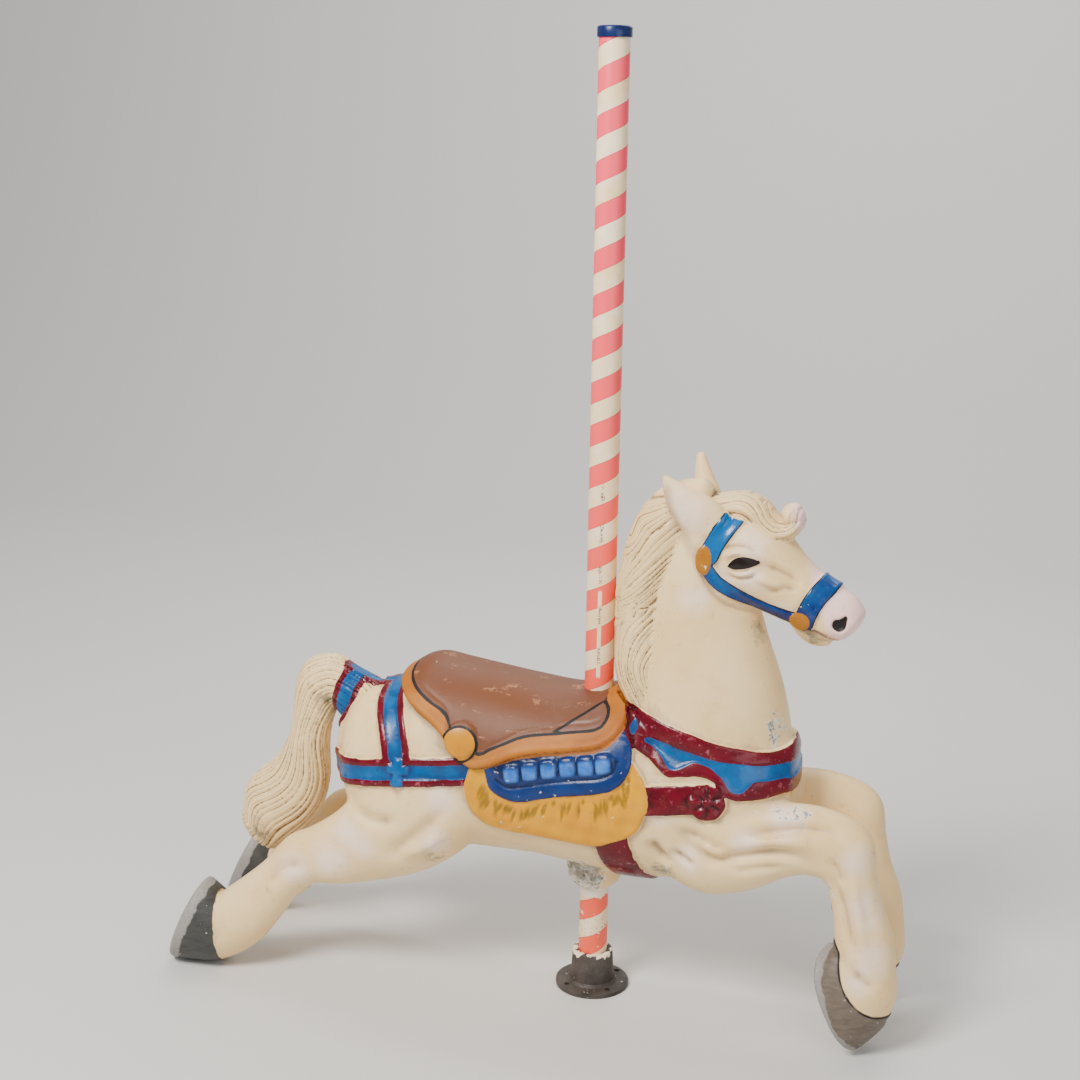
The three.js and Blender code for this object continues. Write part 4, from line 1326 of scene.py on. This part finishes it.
def pole_paint():
    coat = Coat("striped_pole_paint", 0.35)
    coat.wander = coat.noise(60, 2)
    height, angle = round_angle(coat)
    rise = coat.maths("DIVIDE", coat.maths("SUBTRACT", height, STRIPE_START[0] * MM), STRIPE_PITCH * MM)
    turned = coat.maths("MULTIPLY_ADD", angle, -1 / (2 * math.pi), STRIPE_START[1] / 360)
    phase = coat.maths("FRACT", coat.maths("ADD", coat.maths("ADD", rise, turned), 30.0))
    middle = coat.maths("SUBTRACT", STRIPE_SHARE / 2,
                        coat.maths("ABSOLUTE", coat.maths("SUBTRACT", phase, STRIPE_SHARE / 2)))
    edge = coat.maths("MULTIPLY", middle, STRIPE_PITCH)
    cloud = coat.noise(24, 3)
    fine = coat.noise(240, 3)
    cream = coat.mottled(cloud, 0.35, 0.65, "pole_cream", "cream")
    coat.lay(None, cream, coat.spread(cloud, 0.3, 0.7, 0.3, 0.42))
    pink = coat.mottled(height, 0.5, 1.3, "pole_salmon", "pole_pink")
    pink_mask = coat.spread(edge, -0.3, 0.3)
    coat.lay(pink_mask, pink, 0.32)
    coat.lay(coat.maths("MULTIPLY", coat.spread(edge, 1.5, 0.4), pink_mask), "pole_edge", 0.4)

    # a slit worn down the front, and black scratches across the cream stripes beside it
    aside = coat.maths("SUBTRACT", angle, math.radians(SLIT_ANGLE))
    aside = coat.maths("MULTIPLY", coat.maths("ABSOLUTE", aside), POLE_RADIUS)
    shaky = coat.maths("ADD", aside, coat.spread(coat.noise(90, 3), 0.3, 0.7, -2.4, 2.4))
    worn_height = coat.maths("MULTIPLY", coat.spread(height, SLIT[0] - 0.005, SLIT[0]),
                             coat.spread(height, SLIT[1] + 0.005, SLIT[1]))
    slit = coat.maths("MULTIPLY", coat.spread(aside, 3.4, 3.0), worn_height)
    coat.lay(slit, cream, 0.4)
    scratch_height = coat.maths("MULTIPLY", coat.spread(height, SCRATCHES[0] - 0.01, SCRATCHES[0]),
                                coat.spread(height, SCRATCHES[1] + 0.03, SCRATCHES[1]))
    scratch = coat.maths("MULTIPLY", coat.spread(shaky, 2.6, 2.0), scratch_height)
    scratch = coat.maths("MULTIPLY", scratch, coat.spread(edge, -4.0, -5.5))
    scratch = coat.maths("MULTIPLY", scratch, coat.spread(coat.noise(420, 4, 0.8), 0.49, 0.53))
    coat.lay(scratch, "line_black", 0.5)

    # the foot of the pole is the most worn: bare filler and black specks
    low = coat.spread(height, BARE_FOOT + 0.025, BARE_FOOT)
    specks = coat.maths("MULTIPLY", low, coat.spread(coat.noise(300, 4, 0.7), 0.6, 0.63))
    coat.lay(coat.maths("MULTIPLY", specks, coat.spread(edge, 1.0, -1.0)), "metal_dark", 0.6)
    bare = coat.maths("ADD", coat.spread(height, 0.192, 0.178, 0.0, 0.13), coat.noise(70, 4, 0.7))
    top_ring = coat.spread(height, 0.166, 0.172, 0.0, 0.3)
    bare = coat.maths("ADD", bare, coat.maths("MULTIPLY", top_ring, coat.spread(height, 0.2, 0.195)))
    coat.lay(coat.spread(bare, 0.78, 0.80), "filler", 0.5)
    flecks = coat.spread(coat.noise(130, 5, 0.8), 0.735, 0.75)
    coat.lay(flecks, coat.mix(fine, "metal_dark", "pole_cream"), 0.5)
    return coat.dry(coat.maths("ADD", cloud, coat.maths("MULTIPLY", pink_mask, 0.8)), 0.25, 0.0006)


def cap_paint():
    coat = Coat("cap_enamel", 0.25)
    height = coat.axes()["Z"]
    cloud = coat.noise(60, 3)
    coat.lay(None, coat.mottled(cloud, 0.3, 0.7, "cap_navy", "navy"),
             coat.spread(cloud, 0.3, 0.7, 0.18, 0.34))
    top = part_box("pole_cap")[1][2]
    # lighter blue round the top edge: painted highlight
    lit_top_edge = coat.maths("MULTIPLY", coat.spread(height, top - 0.004, top - 0.001),
                         coat.spread(coat.noise(150, 4), 0.45, 0.6))
    coat.lay(lit_top_edge, "cap_edge", 0.4)
    return coat.dry(cloud, 0.2, 0.0005)


def flange_iron():
    coat = Coat("cast_iron_flange", 0.5)
    coat.wander = coat.noise(60, 2)
    height = coat.axes()["Z"]
    cloud = coat.noise(28, 4)
    grit = coat.noise(320, 4, 0.7)
    iron = coat.mottled(cloud, 0.3, 0.7, "iron", "iron_dark")
    iron = coat.mix(coat.spread(grit, 0.4, 0.7, 0, 0.5), iron, "iron_dark")
    coat.lay(None, iron, coat.spread(grit, 0.3, 0.7, 0.38, 0.6))
    bright = coat.maths("MULTIPLY", coat.spread(coat.noise(60, 5, 0.75), 0.66, 0.69),
                        coat.spread(height, 0.022, 0.015))
    coat.lay(bright, "iron_bright", 0.3)
    runs = coat.noise(55, 3, 0.6, stretch=(1, 1, 0.3))
    drips = coat.maths("ADD", height, coat.spread(runs, 0.3, 0.7, -0.012, 0.008))
    coat.lay(coat.spread(drips, DRIP_LINE, DRIP_LINE + 0.0015), "drip", 0.45)
    return coat.dry(grit, 0.45, 0.0012)


def flange_profile():
    low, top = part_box("floor_flange")
    radius, high = top[0] / MM, top[2] / MM
    foot = 39.0
    hub = 34.0
    bore = POLE_RADIUS + 0.3
    return [(0, 0), (radius, 0), (radius, 7), (radius - 5, 8.5), (foot + 5, 9.5), (foot, 14), (hub + 2, 30),
            (hub, high - 2), (hub - 1.5, high), (bore + 1.5, high), (bore, high - 1.5), (bore, 10), (0, 10)]


def drill(thing, holes):
    """Cuts bolt holes; a hole is x, y, radius in mm."""
    for x, y, radius in holes:
        bpy.ops.object.select_all(action="DESELECT")
        bpy.ops.mesh.primitive_cylinder_add(vertices=32, radius=radius * MM, depth=0.05,
                                            location=(x * MM, y * MM, 0))
        cutter = bpy.context.object
        apply_modifier(thing, "BOOLEAN", operation="DIFFERENCE", solver="EXACT", object=cutter)
        bpy.data.objects.remove(cutter)


def make_stand():
    low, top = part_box("pole")
    pole = lathe("striped_pole", [(0, low[2] / MM), (POLE_RADIUS, low[2] / MM), (POLE_RADIUS, top[2] / MM),
                                  (0, top[2] / MM)])
    soften(pole, 0.8)
    pole.data.materials.append(pole_paint())
    low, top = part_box("pole_cap")
    radius, foot, head = top[0] / MM, low[2] / MM, top[2] / MM
    cap = lathe("round_pole_cap", [
        (0, foot + 3.4), (POLE_RADIUS + 0.3, foot + 3.4), (POLE_RADIUS + 0.3, foot), (radius, foot),
        (radius, head - 4), (radius - 1, head - 2), (radius - 3.5, head - 0.6), (radius - 9, head), (0, head),
    ])
    soften(cap, 0.7)
    cap.data.materials.append(cap_paint())
    flange = lathe("iron_floor_flange", flange_profile(), 80)
    drill(flange, [(BOLT_CIRCLE * math.cos(a), BOLT_CIRCLE * math.sin(a), BOLT_RADIUS)
                   for a in np.radians([45, 135, 225, 315])])
    soften(flange, 1.0)
    flange.data.materials.append(flange_iron())
    for piece, node, slot in ((pole, "pole", "pole_paint"), (cap, "pole_cap", "cap_paint"),
                              (flange, "floor_flange", "flange_iron")):
        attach(piece, "root")
        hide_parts(node)


horse_piece, hair_surfaces = shape_horse()
colour_horse(horse_piece, hair_surfaces)
horse_piece.data.materials.append(horse_paint())
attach(horse_piece, "root")
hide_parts("horse")
make_stand()
